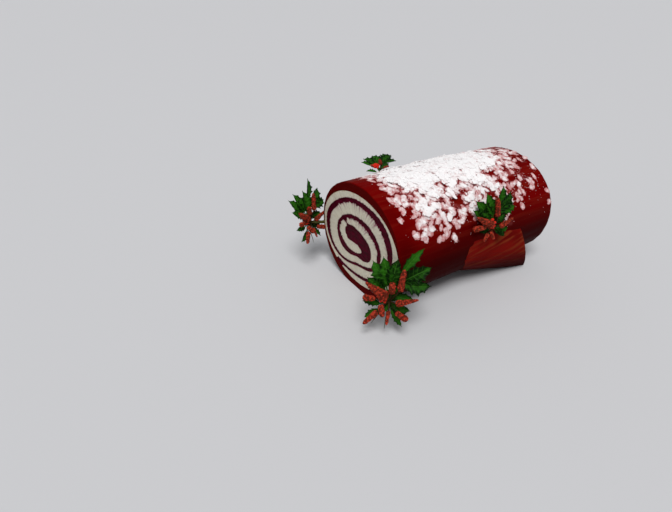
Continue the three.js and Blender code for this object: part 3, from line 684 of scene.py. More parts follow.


# painted shade darkens the icing from the upper height down to the lower one, less so over the closed end
COAT_SHADE_HEIGHTS = (32 * MM, 66 * MM)
ICING_LIT = (0.150, 0.0004, 0.0004, 1)
ICING_DARK = (0.095, 0.0002, 0.0003, 1)
# painted shade: the icing's colour low on its sides, and a lighter one over the closed end
ICING_PAINTED_SHADE = (0.034, 0.0001, 0.0002, 1)
ICING_PAINTED_SHADE_END = (0.085, 0.0003, 0.0004, 1)
ICING_STREAK = (0.17, 0.008, 0.004, 1)
ICING_CUT = (0.080, 0.0008, 0.0006, 1)
SUGAR_WHITE = (0.95, 0.93, 0.93, 1)
SUGAR_PINK = (0.50, 0.15, 0.15, 1)
SUGAR_SPECKLE = 420
SUGAR_GRAINS = 1500
DUST_CLOUDS = 260
COAT_BUMP = 0.6 * MM
drawn_icing = icing_group()


def icing_colour(tree, along, place, colours, streakiness, shade_heights):
    """The red of the icing with its streaks and painted shade darkening its foot, and the streaks for its
    relief.
    """
    drawn = tree.nodes.new("ShaderNodeGroup")
    drawn.node_tree = drawn_icing
    tree.links.new(along, drawn.inputs[0])
    streaks, patches = drawn.outputs
    lit, dark, streak_colour = colours
    colour = colour_mix(tree, between(tree, patches, 0.3, 0.6), dark, lit)
    streak = between(tree, streaks, 0.47, 0.66, 0, streakiness)
    colour = colour_mix(tree, streak, colour, streak_colour)
    split = tree.nodes.new("ShaderNodeSeparateXYZ")
    tree.links.new(place, split.inputs[0])
    # painted shade: below the given heights the red gives way to a darker colour
    above_painted_shade = between(tree, split.outputs[2], *shade_heights)
    at_end = between(tree, split.outputs[0], 68 * MM, LOG_BACK_X)
    low = colour_mix(tree, at_end, ICING_PAINTED_SHADE, ICING_PAINTED_SHADE_END)
    return colour_mix(tree, above_painted_shade, low, colour), streaks


coat_finish, tree, shader, where = new_finish("sugared_icing", Specular_IOR_Level=0.008)
coat_colours = (ICING_LIT, ICING_DARK, ICING_STREAK)
red, streaks = icing_colour(tree, where, where, coat_colours, 0.6, COAT_SHADE_HEIGHTS)
red = colour_mix(tree, attribute_value(tree, "cut"), red, ICING_CUT)
drift = attribute_value(tree, "sugar")
speckle = fine_noise(tree, where, SUGAR_SPECKLE, 3)
clouds = between(tree, fine_noise(tree, where, DUST_CLOUDS, 2), 0.35, 0.6)
dust = calculated(tree, "MULTIPLY", attribute_value(tree, "dust"), clouds)
red = colour_mix(tree, dust, red, SUGAR_PINK)
laid = calculated(tree, "ADD", drift, between(tree, speckle, 0.3, 0.7, -0.3, 0.2))
white = between(tree, laid, 0.2, 0.7)
sugar_colour = colour_mix(tree, between(tree, laid, 0.3, 0.95), SUGAR_PINK, SUGAR_WHITE)
tree.links.new(colour_mix(tree, white, red, sugar_colour), shader.inputs["Base Color"])
tree.links.new(between(tree, white, 0, 1, 0.5, 0.85), shader.inputs["Roughness"])
grains = fine_noise(tree, where, SUGAR_GRAINS, 2)
relief = calculated(tree, "MULTIPLY", white, grains)
relief = calculated(tree, "ADD", relief, calculated(tree, "MULTIPLY", streaks, 0.8))
bumped(tree, shader, relief, COAT_BUMP, 0.5)
coat.data.materials.append(coat_finish)
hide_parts("icing_coat")
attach(coat, "root")

# ---------------------------------------------------------------------------------------------------
# Sugar flakes. Coarse flakes of icing sugar, each a thin uneven petal four to seven millimetres long. They
# lie over each other on the drift and one by one down the sides, where the red shows through the thin ones.
FLAKE_TRIES = 16000
FLAKE_LIMIT = 2050
# where they may fall: millimetres from the cut, and degrees up from one side and over to the other
FLAKE_ALONG = (4, 152)
FLAKE_AROUND = (10, 170)
FLAKE_BEFORE_END = 4 * MM
# the fullest cover, and the number of layers at which every try lays a flake
FLAKE_COVER = 0.96
FLAKE_LAYERS = 3.4
FLAKE_CORNERS = 12
FLAKE_LONG = (2.2 * MM, 3.5 * MM)
FLAKE_WIDE = (1.5 * MM, 2.4 * MM)
FLAKE_RISE = (0.16 * MM, 0.3 * MM)
FLAKE_SUNK = 0.4 * MM
FLAKE_CREASE = math.radians(70)
FLAKE_RIM = 0.12 * MM
FLAKE_DENT = 0.12 * MM
FLAKE_DENT_SIZE = 0.9 * MM
FLAKE_TILT = 0.06
STACK_TILT = 0.02
STACK_STEP = 0.17 * MM
STACK_MOST = 3.0
FLAKE_CELL = 4 * MM
# how much a layer of flake hides, and how many layers a full drift counts for
FLAKE_VEIL = 0.44
DRIFT_LAYERS = 2.5

draw = random.Random(23)
flake_points, flake_faces, flake_cover = [], [], []
laid_flakes = {}


def cell_of(place):
    """The box of space that a place is in, so that only flakes nearby are looked at."""
    return tuple(int(c // FLAKE_CELL) for c in place)


def flakes_near(place):
    """The laid flakes in the boxes around a place."""
    middle = cell_of(place)
    return [
        flake
        for dx in (-1, 0, 1) for dy in (-1, 0, 1) for dz in (-1, 0, 1)
        for flake in laid_flakes.get((middle[0] + dx, middle[1] + dy, middle[2] + dz), ())
    ]


def layers_over(spot, near):
    """How many laid flakes cover a spot, each counting less towards its edge."""
    layers = 0.0
    for middle, side, across, long, wide in near:
        away = spot - middle
        reach = (away.dot(side) / long) ** 2 + (away.dot(across) / wide) ** 2
        if reach < 1:
            layers += 1 - reach * reach
    return layers


def any_way():
    """A random way, not of length one."""
    return Vector((draw.uniform(-1, 1), draw.uniform(-1, 1), draw.uniform(-1, 1)))


def lay_flake(x, angle):
    """One flake: a low petal with a soft wavy outline, sunk a little into what it lies on."""
    ground = log_point(x, angle, icing_wave(x, angle) + drift_lift(x, angle))
    near = flakes_near(ground)
    under = min(STACK_MOST, layers_over(ground, near))
    up = (log_normal(angle) + (FLAKE_TILT + STACK_TILT * under) * any_way()).normalized()
    middle = ground + up * (STACK_STEP * under)
    side = any_way()
    side = (side - up * side.dot(up)).normalized()
    across = up.cross(side)
    long, wide = draw.uniform(*FLAKE_LONG), draw.uniform(*FLAKE_WIDE)
    rise = draw.uniform(*FLAKE_RISE)
    waves = [(count, draw.uniform(0.04, 0.12), draw.uniform(0, math.tau)) for count in (2, 3, 5)]
    ground_white = DRIFT_LAYERS * sugar_drift(x, angle)
    start = len(flake_points)
    # each ring from the sunk foot to the top: height, spread, and how many layers it counts for
    levels = ((-FLAKE_SUNK, 0.9, 0.0), (FLAKE_RIM, 1.0, 0.3), (0.7 * rise, 0.86, 0.5), (rise, 0.45, 0.85))
    for level, spread, body in levels:
        for k in range(FLAKE_CORNERS):
            turn = math.tau * k / FLAKE_CORNERS
            wavy = sum(depth * math.cos(count * turn + shift) for count, depth, shift in waves)
            reach = spread * (1 + wavy)
            spot = middle + side * (long * reach * math.cos(turn))
            spot = spot + across * (wide * reach * math.sin(turn))
            dent = FLAKE_DENT * noise.noise(spot / FLAKE_DENT_SIZE) if level > 0 else 0
            flake_points.append(spot + up * (level + dent))
            flake_cover.append(layers_over(spot, near) + body + ground_white)
    flake_points.append(middle - up * FLAKE_SUNK)
    flake_points.append(middle + up * rise)
    flake_cover.extend((0.0, layers_over(middle, near) + 1 + ground_white))
    low, high = len(flake_points) - 2, len(flake_points) - 1
    for k in range(FLAKE_CORNERS):
        after = (k + 1) % FLAKE_CORNERS
        for row in range(len(levels) - 1):
            a, b = start + row * FLAKE_CORNERS, start + (row + 1) * FLAKE_CORNERS
            flake_faces.append((a + k, a + after, b + after, b + k))
        top = start + (len(levels) - 1) * FLAKE_CORNERS
        flake_faces.append((low, start + after, start + k))
        flake_faces.append((high, top + k, top + after))
    laid_flakes.setdefault(cell_of(ground), []).append((middle, side, across, long, wide))


count = 0
for _ in range(FLAKE_TRIES):
    x = CUT_X + draw.uniform(*FLAKE_ALONG) * MM
    angle = math.radians(draw.uniform(*FLAKE_AROUND))
    layers = -math.log(1.0 - FLAKE_COVER * sugar_cover(x, angle))
    lands = draw.random() < layers / FLAKE_LAYERS
    if lands and count < FLAKE_LIMIT and x < LOG_BACK_X - FLAKE_BEFORE_END:
        lay_flake(x, angle)
        count += 1

flakes = mesh_piece("sugar_flakes", flake_points, flake_faces)
point_value(flakes, "thick", [1 - (1 - FLAKE_VEIL) ** layers for layers in flake_cover])
flakes.data.set_sharp_from_angle(angle=FLAKE_CREASE)

FLAKE_GRAIN = 1300
FLAKE_MOTTLE = 330
FLAKE_BUMP = 0.5 * MM
flake_finish, tree, shader, where = new_finish("icing_sugar", Roughness=0.8, Specular_IOR_Level=0.05)
grain = fine_noise(tree, where, FLAKE_GRAIN, 3)
mottle = fine_noise(tree, where, FLAKE_MOTTLE, 2)
thick = attribute_value(tree, "thick")
thick = calculated(tree, "ADD", thick, between(tree, grain, 0.3, 0.7, -0.1, 0.1))
thick = calculated(tree, "ADD", thick, between(tree, mottle, 0.35, 0.65, -0.14, 0.14))
colour = colour_mix(tree, between(tree, thick, 0.0, 0.95), SUGAR_PINK, SUGAR_WHITE)
tree.links.new(colour, shader.inputs["Base Color"])
bumped(tree, shader, grain, FLAKE_BUMP, 0.5)
flakes.data.materials.append(flake_finish)
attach(flakes, "root")

# ---------------------------------------------------------------------------------------------------
# Sugar crumbs. The broken bits among the flakes, up to a millimetre and a half across, each pressed into
# the icing or the flakes by about a third.
CRUMB_TRIES = 26000
CRUMB_ALONG = (3, 150)
CRUMB_AROUND = (6, 174)
# the chance of one on nearly bare icing, and what is added among the flakes
CRUMB_LONE = 0.03
CRUMB_AMONG = 0.2
CRUMB_HALF = (0.2 * MM, 0.5 * MM)
ON_FLAKE = 0.2 * MM
bit_points, bit_faces, bit_thick = [], [], []
bpy.ops.mesh.primitive_ico_sphere_add(subdivisions=1, radius=1)
template = bpy.context.active_object
bit_corners = [v.co.copy() for v in template.data.vertices]
bit_sides = [tuple(p.vertices) for p in template.data.polygons]
bpy.data.objects.remove(template)
for _ in range(CRUMB_TRIES):
    x = CUT_X + draw.uniform(*CRUMB_ALONG) * MM
    angle = math.radians(draw.uniform(*CRUMB_AROUND))
    cover = sugar_cover(x, angle)
    if draw.random() > CRUMB_LONE * smooth(cover, 0, 0.1) + CRUMB_AMONG * smooth(cover, 0.1, 0.6):
        continue
    half = draw.uniform(*CRUMB_HALF) * (0.7 + 0.5 * cover)
    ground = log_point(x, angle, icing_wave(x, angle) + drift_lift(x, angle))
    layers = min(STACK_MOST, layers_over(ground, flakes_near(ground)))
    lift = STACK_STEP * layers + (ON_FLAKE if layers > 0.2 else 0) + 0.2 * half
    middle = ground + log_normal(angle) * lift
    axis = any_way().normalized()
    turned = Matrix.Rotation(draw.uniform(0, math.tau), 3, axis)
    shape = Vector((draw.uniform(0.8, 1.3), draw.uniform(0.7, 1.1), draw.uniform(0.5, 0.9)))
    start = len(bit_points)
    for corner in bit_corners:
        spot = turned @ Vector((corner.x * shape.x, corner.y * shape.y, corner.z * shape.z))
        bit_points.append(middle + half * spot)
        bit_thick.append(min(1.0, 0.35 + 0.3 * layers + draw.uniform(-0.1, 0.1)))
    bit_faces.extend(tuple(start + k for k in side) for side in bit_sides)
bits = mesh_piece("sugar_crumbs", bit_points, bit_faces, smooth_faces=False)
point_value(bits, "thick", bit_thick)
bits.data.materials.append(flake_finish)
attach(bits, "root")

# ---------------------------------------------------------------------------------------------------
# Branch stub. A short length of roll iced all over, set against the log's side so that it slants down, and
# trimmed flat where it rests. Its streaks run along it, like bark.
STUB_RADIUS = 30.8 * MM
STUB_SWING = math.radians(-3.9)
STUB_DIP = math.radians(-14.4)
STUB_PLACE = Vector((20, -20.1, 30.7)) * MM
STUB_END_POINT = Vector((57.9, -46.6, 0)) * MM
STUB_END_NORMAL = Vector((0.86, -0.4, 0.39)).normalized()
STUB_HEEL_POINT = Vector((-15, -47, 36)) * MM
STUB_HEEL_NORMAL = Vector((-1, 0, 0.05)).normalized()
STUB_INNER_Y = -24 * MM
STUB_HALF_LENGTH = 75 * MM
STUB_SIDES = 260
STUB_STEPS = 150
STUB_CREASE = math.radians(40)
GROOVE_DEPTH = 0.35 * MM
# broad and narrow grooves: how long, and how many to the radian around the stub
BROAD_GROOVES = (45 * MM, 9)
NARROW_GROOVES = (16 * MM, 21)
BLOCK_SIZE = 0.4
# the stub stops this far over the log's plain form, about level with the waves of its icing
STUB_MEETS = 0.5 * MM
CORE_PAST_END = 3 * MM

stub_way = Vector((
    math.cos(STUB_SWING) * math.cos(STUB_DIP),
    math.sin(STUB_SWING) * math.cos(STUB_DIP),
    math.sin(STUB_DIP),
))
stub_side = Vector((0, 0, 1)).cross(stub_way).normalized()
stub_up = stub_way.cross(stub_side)
rings = []
for k in range(STUB_STEPS + 1):
    along = STUB_HALF_LENGTH * (2 * k / STUB_STEPS - 1)
    ring = []
    for j in range(STUB_SIDES):
        turn = math.tau * j / STUB_SIDES
        broad = noise.noise(Vector((along / BROAD_GROOVES[0], turn * BROAD_GROOVES[1], 1)))
        narrow = noise.noise(Vector((along / NARROW_GROOVES[0], turn * NARROW_GROOVES[1], 3)))
        radius = STUB_RADIUS + GROOVE_DEPTH * (broad + 0.5 * narrow)
        outward = stub_side * math.cos(turn) + stub_up * math.sin(turn)
        ring.append(STUB_PLACE + stub_way * along + outward * radius)
    rings.append(ring)
half_bar = stub_way * STUB_HALF_LENGTH
points, faces = loft(rings, STUB_PLACE - half_bar, STUB_PLACE + half_bar)
stub = mesh_piece("branch_stub_icing", points, faces)


def cutting_block(point, normal):
    """A large block on the side of a plane that its normal points to."""
    bpy.ops.mesh.primitive_cube_add(size=BLOCK_SIZE)
    block = bpy.context.active_object
    turn = Vector((0, 0, 1)).rotation_difference(normal).to_matrix().to_4x4()
    block.data.transform(Matrix.Translation((0, 0, BLOCK_SIZE / 2)))
    block.data.transform(Matrix.Translation(point) @ turn)
    return block


def cut_away(piece, *tools):
    """Cuts each tool out of the piece, then removes the tools."""
    for tool in tools:
        cut = piece.modifiers.new("cut", "BOOLEAN")
        cut.operation = "DIFFERENCE"
        cut.solver = "EXACT"
        cut.object = tool
        bpy.context.view_layer.objects.active = piece
        bpy.ops.object.modifier_apply(modifier=cut.name)
        bpy.data.objects.remove(tool)


core_ends = (CUT_X - CORE_PAST_END, LOG_BACK_X + CORE_PAST_END)
log_core = [[log_point(x, a, STUB_MEETS) for a in angles] for x in core_ends]
core_points, core_faces = loft(log_core, *(Vector((x, 0, LOG_HALF_HEIGHT)) for x in core_ends))
cut_away(
    stub,
    cutting_block(Vector((0, 0, 0)), Vector((0, 0, -1))),
    cutting_block(STUB_END_POINT, STUB_END_NORMAL),
    cutting_block(STUB_HEEL_POINT, STUB_HEEL_NORMAL),
    cutting_block(Vector((0, STUB_INNER_Y, 0)), Vector((0, 1, 0))),
    mesh_piece("log_core", core_points, core_faces),
)
stub.data.set_sharp_from_angle(angle=STUB_CREASE)

# painted shade darkens the stub from the upper height down to the lower one
STUB_SHADE_HEIGHTS = (3 * MM, 32 * MM)
STUB_LIT = (0.175, 0.005, 0.003, 1)
STUB_DARK = (0.080, 0.0012, 0.001, 1)
STUB_STREAK = (0.20, 0.030, 0.009, 1)
STUB_BUMP = 0.9 * MM
stub_finish, tree, shader, where = new_finish("bark_icing", Roughness=0.5, Specular_IOR_Level=0.008)
turned = value_in(tree, "ShaderNodeMapping", Rotation=(0, -STUB_DIP, -STUB_SWING))
tree.links.new(where, turned.inputs["Vector"])
stub_colours = (STUB_LIT, STUB_DARK, STUB_STREAK)
red, streaks = icing_colour(tree, turned.outputs["Vector"], where, stub_colours, 0.8, STUB_SHADE_HEIGHTS)
tree.links.new(red, shader.inputs["Base Color"])
bumped(tree, shader, streaks, STUB_BUMP, 0.5)
stub.data.materials.clear()
stub.data.materials.append(stub_finish)
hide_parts("branch_stub")
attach(stub, "root")

# ---------------------------------------------------------------------------------------------------
# Holly. Four sprigs, each a short twig pushed into the log with spiny leaves on thin stalks around its
# middle. The blades are stiff and waxy, folded at the rib, with their spines turned up.
FULL_SPRIG = {
    # start from the middle (right, up), bearing, blade length, blade width, tilt; millimetres, degrees
    "leaves": (
        ((-3.5, 6), 144, 14.5, 9.5, 14),
        ((-2.5, 9), 122, 19, 10, 9),
        ((-0.5, 10), 106, 19.5, 10, 12),
        ((1.5, 9), 84, 19.5, 10.5, 16),
        ((7, 19.5), 53, 20.5, 6.5, 8),
        ((7.5, 14), 32, 20.5, 11, 12),
        ((7.5, 12.5), 1, 18, 10.5, 14),
        ((2.5, 4.2), -4, 13, 8, 20),
        ((0.5, -2.2), -13, 14, 8, 14),
        ((1.8, -6), -55, 13.2, 4.6, 8),
        ((-6, -2.6), 175, 11.2, 5.5, 12),
        ((-5, -6.5), 212, 12.3, 6, 8),
    ),
    # small leaves close around the middle
    "small": (
        ((0.3, -1.2), 248, 7, 3.6, 16),
        ((0.6, 0.6), 78, 8, 4.4, 6),
        ((-0.8, 0.6), 150, 6, 3.6, 8),
        ((0.8, -0.8), -58, 7, 4, 10),
        ((1.0, 0.2), 18, 6, 3.6, 6),
    ),
    # bare stems: from, to
    "stems": (
        ((-2, -3.5), (-10.6, -16.5)),
        ((-0.8, -4), (-1.7, -19.2)),
    ),
    # start, bearing, length, widths at the two ends, tilt
    "spikes": (
        ((-2.2, 2.7), 142, 18.1, (8.6, 2.6), 22),
        ((1.4, 6.1), 91, 8.2, (4.6, 5), 20),
        ((6.5, 8.6), 84, 16, (5, 3.6), 20),
        ((5, -0.4), 24, 16, (5.2, 2), 26),
        ((-9, 1.8), 174, 8.3, (3.6, 5.2), 20),
        ((-7.2, -7.1), 226, 12, (4.6, 3.4), 12),
        ((-5, -2.7), 284, 7.8, (4.8, 4.2), 18),
        ((0.4, -6.3), 265, 9, (3.2, 2), 12),
        ((5.1, -6.4), -25, 9, (4.2, 5), 14),
    ),
}
SLIM_SPRIG = {
    "leaves": (
        ((-3, 5.5), 150, 15.5, 8.5, 12),
        ((-2.5, 7.5), 134, 17, 10, 10),
        ((-1.2, 8.5), 106, 16, 9.5, 12),
        ((3.5, 12), 76, 16, 8, 8),
        ((2.8, 11), 54, 15.5, 9, 12),
        ((3.5, 10.5), 11, 12.5, 8, 12),
        ((0.8, 3), 38, 9.5, 7.5, 20),
        ((1.6, -0.6), -12, 9.6, 7, 16),
        ((1.8, -3.6), -33, 8.7, 5, 10),
        ((-3.5, -2), 178, 9.2, 5, 12),
    ),
    "spikes": (
        ((-3.5, 1.7), 151, 18, (7.4, 2.2), 16),
        ((0.6, 8), 102, 14.5, (4.6, 3.2), 14),
        ((3.3, 0), 37, 10.5, (4.6, 2), 20),
        ((-8.9, 1.1), 179, 11, (3.4, 5.2), 10),
        ((-6.5, -4), 228, 6.5, (3.4, 2.6), 10),
        ((-4.2, -2.7), -73, 6.2, (3.4, 2.6), 12),
    ),
}
LEAFY_SPRIG = {
    "leaves": SLIM_SPRIG["leaves"],
    "spikes": (
        ((-3.5, 1.7), 162, 6, (3.6, 2.6), 10),
        ((0.6, 5), 96, 6.5, (4, 3), 16),
        ((3.3, 0), 26, 5.5, (3.6, 2.4), 10),
    ),
}
# each sprig: its leaves and spikes, middle, the way it faces, where its twig goes in, and size
SPRIGS = (
    ("side", SLIM_SPRIG, (4.6, -48.2, 51.5), (-0.25, -0.93, 0.27), (6, -43.5, 49.5), 1.0),
    ("shoulder", LEAFY_SPRIG, (-31.5, 37, 70.8), (-0.12, -0.2, 0.97), (-31.5, 35, 63), 0.86),
    ("foot", FULL_SPRIG, (-85, -49.5, 22.5), (-0.62, -0.7, 0.36), (-72, -41.3, 19), 1.0),
    ("rim", FULL_SPRIG, (-90, 53, 35.4), (0.3, -0.85, 0.42), (-73, 45.8, 35), 0.88),
)
# heights over a sprig's own plane; these and all measures of leaves and berries are its own millimetres
LEAF_LAYER = 1.0
TWIG_LAYER = 2.4
STEM_LAYER = 2.0
LEAF_ROWS = 44
LEAF_COLUMNS = 6
LEAF_THICKNESS = 0.5
LEAF_CREASE = math.radians(70)
LEAF_NARROWEST = 0.12
LEAF_FOLD = 0.4
LEAF_DROOP = 0.012
RIB_GROOVE = 0.14
RIB_KEEL = 0.16
RIB_WAVES = 7
SPINES = 4.4
SPINE_START = 0.3
SPINE_SHARPNESS = 2.6
SPINE_LENGTH = 0.4
SPINE_LEAN = 0.3
SPINE_TURN_UP = 0.085
# side veins along a blade, and by how much of their spacing each has moved on at the edge
VEINS = 7.0
VEIN_SLANT = 0.9
QUILT_DEPTH = 0.15
STALK_RADII = (0.75, 0.62, 0.55, 0.5, 0.48, 0.2)
STEM_RADII = (0.35, 0.32, 0.3, 0.26, 0.12)
TWIG_RADII = (1.5, 1.45, 1.5, 1.4, 1.45, 1.3, 1.35, 1.2, 0.9)


def sprig_frame(hub, facing, size):
    """From a sprig's own millimetres (right, up, facing) to the cake's frame."""
    out = Vector(facing).normalized()
    right = Vector((0, 0, 1)).cross(out).normalized()
    up = out.cross(right)
    turn = Matrix((right, up, out)).transposed().to_4x4()
    return Matrix.Translation(Vector(hub) * MM) @ turn @ Matrix.Scale(size * MM, 4)


def bearing_way(bearing):
    """The way across a sprig's plane, from degrees counted from its right."""
    turn = math.radians(bearing)
    return Vector((math.cos(turn), math.sin(turn), 0))


def tube(points, faces, path, radii, sides=8):
    """Adds a closed round stalk along a path."""
    start = len(points)
    for k, spot in enumerate(path):
        way = (path[min(k + 1, len(path) - 1)] - path[max(k - 1, 0)]).normalized()
        side = way.orthogonal().normalized()
        over = way.cross(side)
        for j in range(sides):
            turn = math.tau * j / sides
            points.append(spot + radii[k] * (math.cos(turn) * side + math.sin(turn) * over))
    for k in range(len(path) - 1):
        for j in range(sides):
            after = (j + 1) % sides
            a, b = start + k * sides, start + (k + 1) * sides
            faces.append((a + j, a + after, b + after, b + j))
    faces.append(tuple(start + j for j in reversed(range(sides))))
    faces.append(tuple(start + (len(path) - 1) * sides + j for j in range(sides)))


def spine_reach(u, side_shift):
    """1 at the tip of a spine and 0 midway between two, along one edge of a blade."""
    place = (u * SPINES + SPINE_START + side_shift) % 1.0
    return abs(2 * place - 1) ** SPINE_SHARPNESS


def leaf_half_width(u, side_shift):
    """Half the blade's width along it, as a share of the most: hollow arcs between sharp spines."""
    oval = math.sin(math.pi * min(0.985, 0.12 + 0.865 * u)) ** 1.05
    pointed = 1 - 0.75 * smooth(u, 0.86, 1.0)
    spines = SPINE_LENGTH * spine_reach(u, side_shift) * (1 - 0.7 * smooth(u, 0.72, 0.95))
    return oval * pointed * (0.82 + spines)


def add_leaf(points, faces, coordinates, tones, leaf, seed):
    """A blade folded at its rib, closed over its thickness, on a thin stalk from the sprig's middle."""
    (right, up), bearing, length, width, tilt = leaf
    begin = Vector((right, up, 0))
    way = bearing_way(bearing)
    side = Vector((-way.y, way.x, 0))
    slope = math.tan(math.radians(tilt))
    stalk = begin.length
    draw = random.Random(seed)
    curl, sway = draw.uniform(0.8, 1.3), draw.uniform(-0.9, 0.9)
    shifts = (draw.uniform(0, 0.35), draw.uniform(0, 0.35))
    tone = draw.uniform(0, 1)
    first = len(points)
    for row in range(LEAF_ROWS + 1):
        u = row / LEAF_ROWS
        reach = u * length
        rise = LEAF_LAYER + slope * (stalk + reach) - LEAF_DROOP * curl * reach * reach
        swayed = side * (sway * math.sin(math.pi * u))
        rib = begin + way * reach + swayed + Vector((0, 0, rise))
        for face in (1, -1):
            for column in range(-LEAF_COLUMNS, LEAF_COLUMNS + 1):
                v = column / LEAF_COLUMNS
                if face < 0 and abs(column) == LEAF_COLUMNS:
                    continue
                shift = shifts[0] if v < 0 else shifts[1]
                half = max(LEAF_NARROWEST, width / 2 * leaf_half_width(u, shift))
                lean = SPINE_LEAN * length / SPINES * spine_reach(u, shift) * abs(v) ** 3 * (1 - u)
                turned_up = SPINE_TURN_UP * width * spine_reach(u, shift) * abs(v) ** 3
                fold = LEAF_FOLD * abs(v) * half + turned_up
                vein = math.sin(math.tau * (u * VEINS - abs(v) * VEIN_SLANT))
                quilt = QUILT_DEPTH * vein * math.sin(math.pi * abs(v))
                groove = math.exp(-(v * RIB_WAVES) ** 2) * (RIB_KEEL if face < 0 else RIB_GROOVE)
                skin = LEAF_THICKNESS / 2 * face * (1 - v * v) - groove
                height = Vector((0, 0, fold + quilt + skin))
                points.append(rib + side * (v * half) + way * lean + height)
                coordinates.append((u, 0.5 + 0.5 * v))
    across = 2 * LEAF_COLUMNS + 1
    stride = across + across - 2
    for row in range(LEAF_ROWS):
        top, ahead = first + row * stride, first + (row + 1) * stride
        for k in range(across - 1):
            faces.append((top + k, ahead + k, ahead + k + 1, top + k + 1))
        under = [top] + [top + across + k for k in range(across - 2)] + [top + across - 1]
        under_ahead = [ahead] + [ahead + across + k for k in range(across - 2)] + [ahead + across - 1]
        for k in range(across - 1):
            faces.append((under[k], under[k + 1], under_ahead[k + 1], under_ahead[k]))
    for row, turned in ((0, False), (LEAF_ROWS, True)):
        top = first + row * stride
        edge = [top + k for k in range(across)] + [top + across + k for k in reversed(range(across - 2))]
        faces.append(tuple(reversed(edge)) if turned else tuple(edge))
    foot = Vector((0, 0, LEAF_LAYER))
    blade_start = begin + Vector((0, 0, LEAF_LAYER + slope * stalk))
    into = blade_start + way * (0.25 * length) + Vector((0, 0, slope * 0.25 * length - 0.15))
    before = len(points)
    path = [foot.lerp(blade_start, k / 4) for k in range(5)] + [into]
    tube(points, faces, path, STALK_RADII)
    coordinates.extend([(0.0, 0.5)] * (len(points) - before))
    tones.extend([tone] * (len(points) - first))


def leaf_vein_group():
    """Where a blade's rib, side veins and edge are, from its length (0 to 1) and breadth (0 to 1)."""
    tree = bpy.data.node_groups.new("leaf_veins", "ShaderNodeTree")
    tree.interface.new_socket("Blade", in_out="INPUT", socket_type="NodeSocketVector")
    for name in ("Rib", "Veins", "Edge"):
        tree.interface.new_socket(name, in_out="OUTPUT", socket_type="NodeSocketFloat")
    entry = tree.nodes.new("NodeGroupInput")
    way_out = tree.nodes.new("NodeGroupOutput")
    split = tree.nodes.new("ShaderNodeSeparateXYZ")
    tree.links.new(entry.outputs[0], split.inputs[0])
    from_rib = calculated(tree, "ABSOLUTE", calculated(tree, "SUBTRACT", split.outputs[1], 0.5))
    place = calculated(tree, "MULTIPLY", split.outputs[0], VEINS)
    slant = calculated(tree, "MULTIPLY", from_rib, 2 * VEIN_SLANT)
    wave = calculated(tree, "FRACT", calculated(tree, "SUBTRACT", place, slant))
    from_vein = calculated(tree, "ABSOLUTE", calculated(tree, "SUBTRACT", wave, 0.5))
    tree.links.new(between(tree, from_rib, 0.015, 0.05, 1, 0), way_out.inputs[0])
    tree.links.new(between(tree, from_vein, 0.02, 0.16, 1, 0), way_out.inputs[1])
    tree.links.new(between(tree, from_rib, 0.2, 0.5), way_out.inputs[2])
    return tree


LEAF_GREEN = (0.020, 0.110, 0.005, 1)
# the dark of the random mottle, which is also the painted shade at a blade's edges
LEAF_DARK_AND_EDGE_SHADE = (0.002, 0.012, 0.0010, 1)
LEAF_PALE = (0.05, 0.18, 0.018, 1)
LEAF_MOTTLE = 240
LEAF_BUMP = 0.25 * MM
holly_finish, tree, shader, where = new_finish("holly_leaf", Roughness=0.45, Specular_IOR_Level=0.04)
blade = tree.nodes.new("ShaderNodeUVMap")
blade.uv_map = "blade"
vein_node = tree.nodes.new("ShaderNodeGroup")
vein_node.node_tree = leaf_vein_group()
tree.links.new(blade.outputs[0], vein_node.inputs[0])
rib, veins, edge = vein_node.outputs
mottle = fine_noise(tree, where, LEAF_MOTTLE, 3)
# painted shade darkens each blade towards its edges, over the mottle and each leaf's own tone
shade = calculated(tree, "SUBTRACT", between(tree, mottle, 0.34, 0.66, 0, 0.7), edge)
tone = between(tree, attribute_value(tree, "tone"), 0, 1, -0.45, 0.3)
shade = calculated(tree, "ADD", shade, tone)
colour = colour_mix(tree, between(tree, shade, -0.65, 0.8), LEAF_DARK_AND_EDGE_SHADE, LEAF_GREEN)
colour = colour_mix(tree, calculated(tree, "MULTIPLY", veins, 0.22), colour, LEAF_PALE)
colour = colour_mix(tree, calculated(tree, "MULTIPLY", rib, 0.5), colour, LEAF_PALE)
tree.links.new(colour, shader.inputs["Base Color"])
bumped(tree, shader, calculated(tree, "ADD", veins, rib), LEAF_BUMP, 0.5)

BARK_BROWN = (0.05, 0.03, 0.01, 1)
BARK_GREEN = (0.07, 0.08, 0.02, 1)
BARK_GRAIN = 700
BARK_BUMP = 0.4 * MM
twig_finish, tree, shader, where = new_finish("holly_twig", Roughness=0.7, Specular_IOR_Level=0.05)
bark = fine_noise(tree, where, BARK_GRAIN, 3)
colour = colour_mix(tree, between(tree, bark, 0.35, 0.65), BARK_BROWN, BARK_GREEN)
tree.links.new(colour, shader.inputs["Base Color"])
bumped(tree, shader, bark, BARK_BUMP, 0.6)

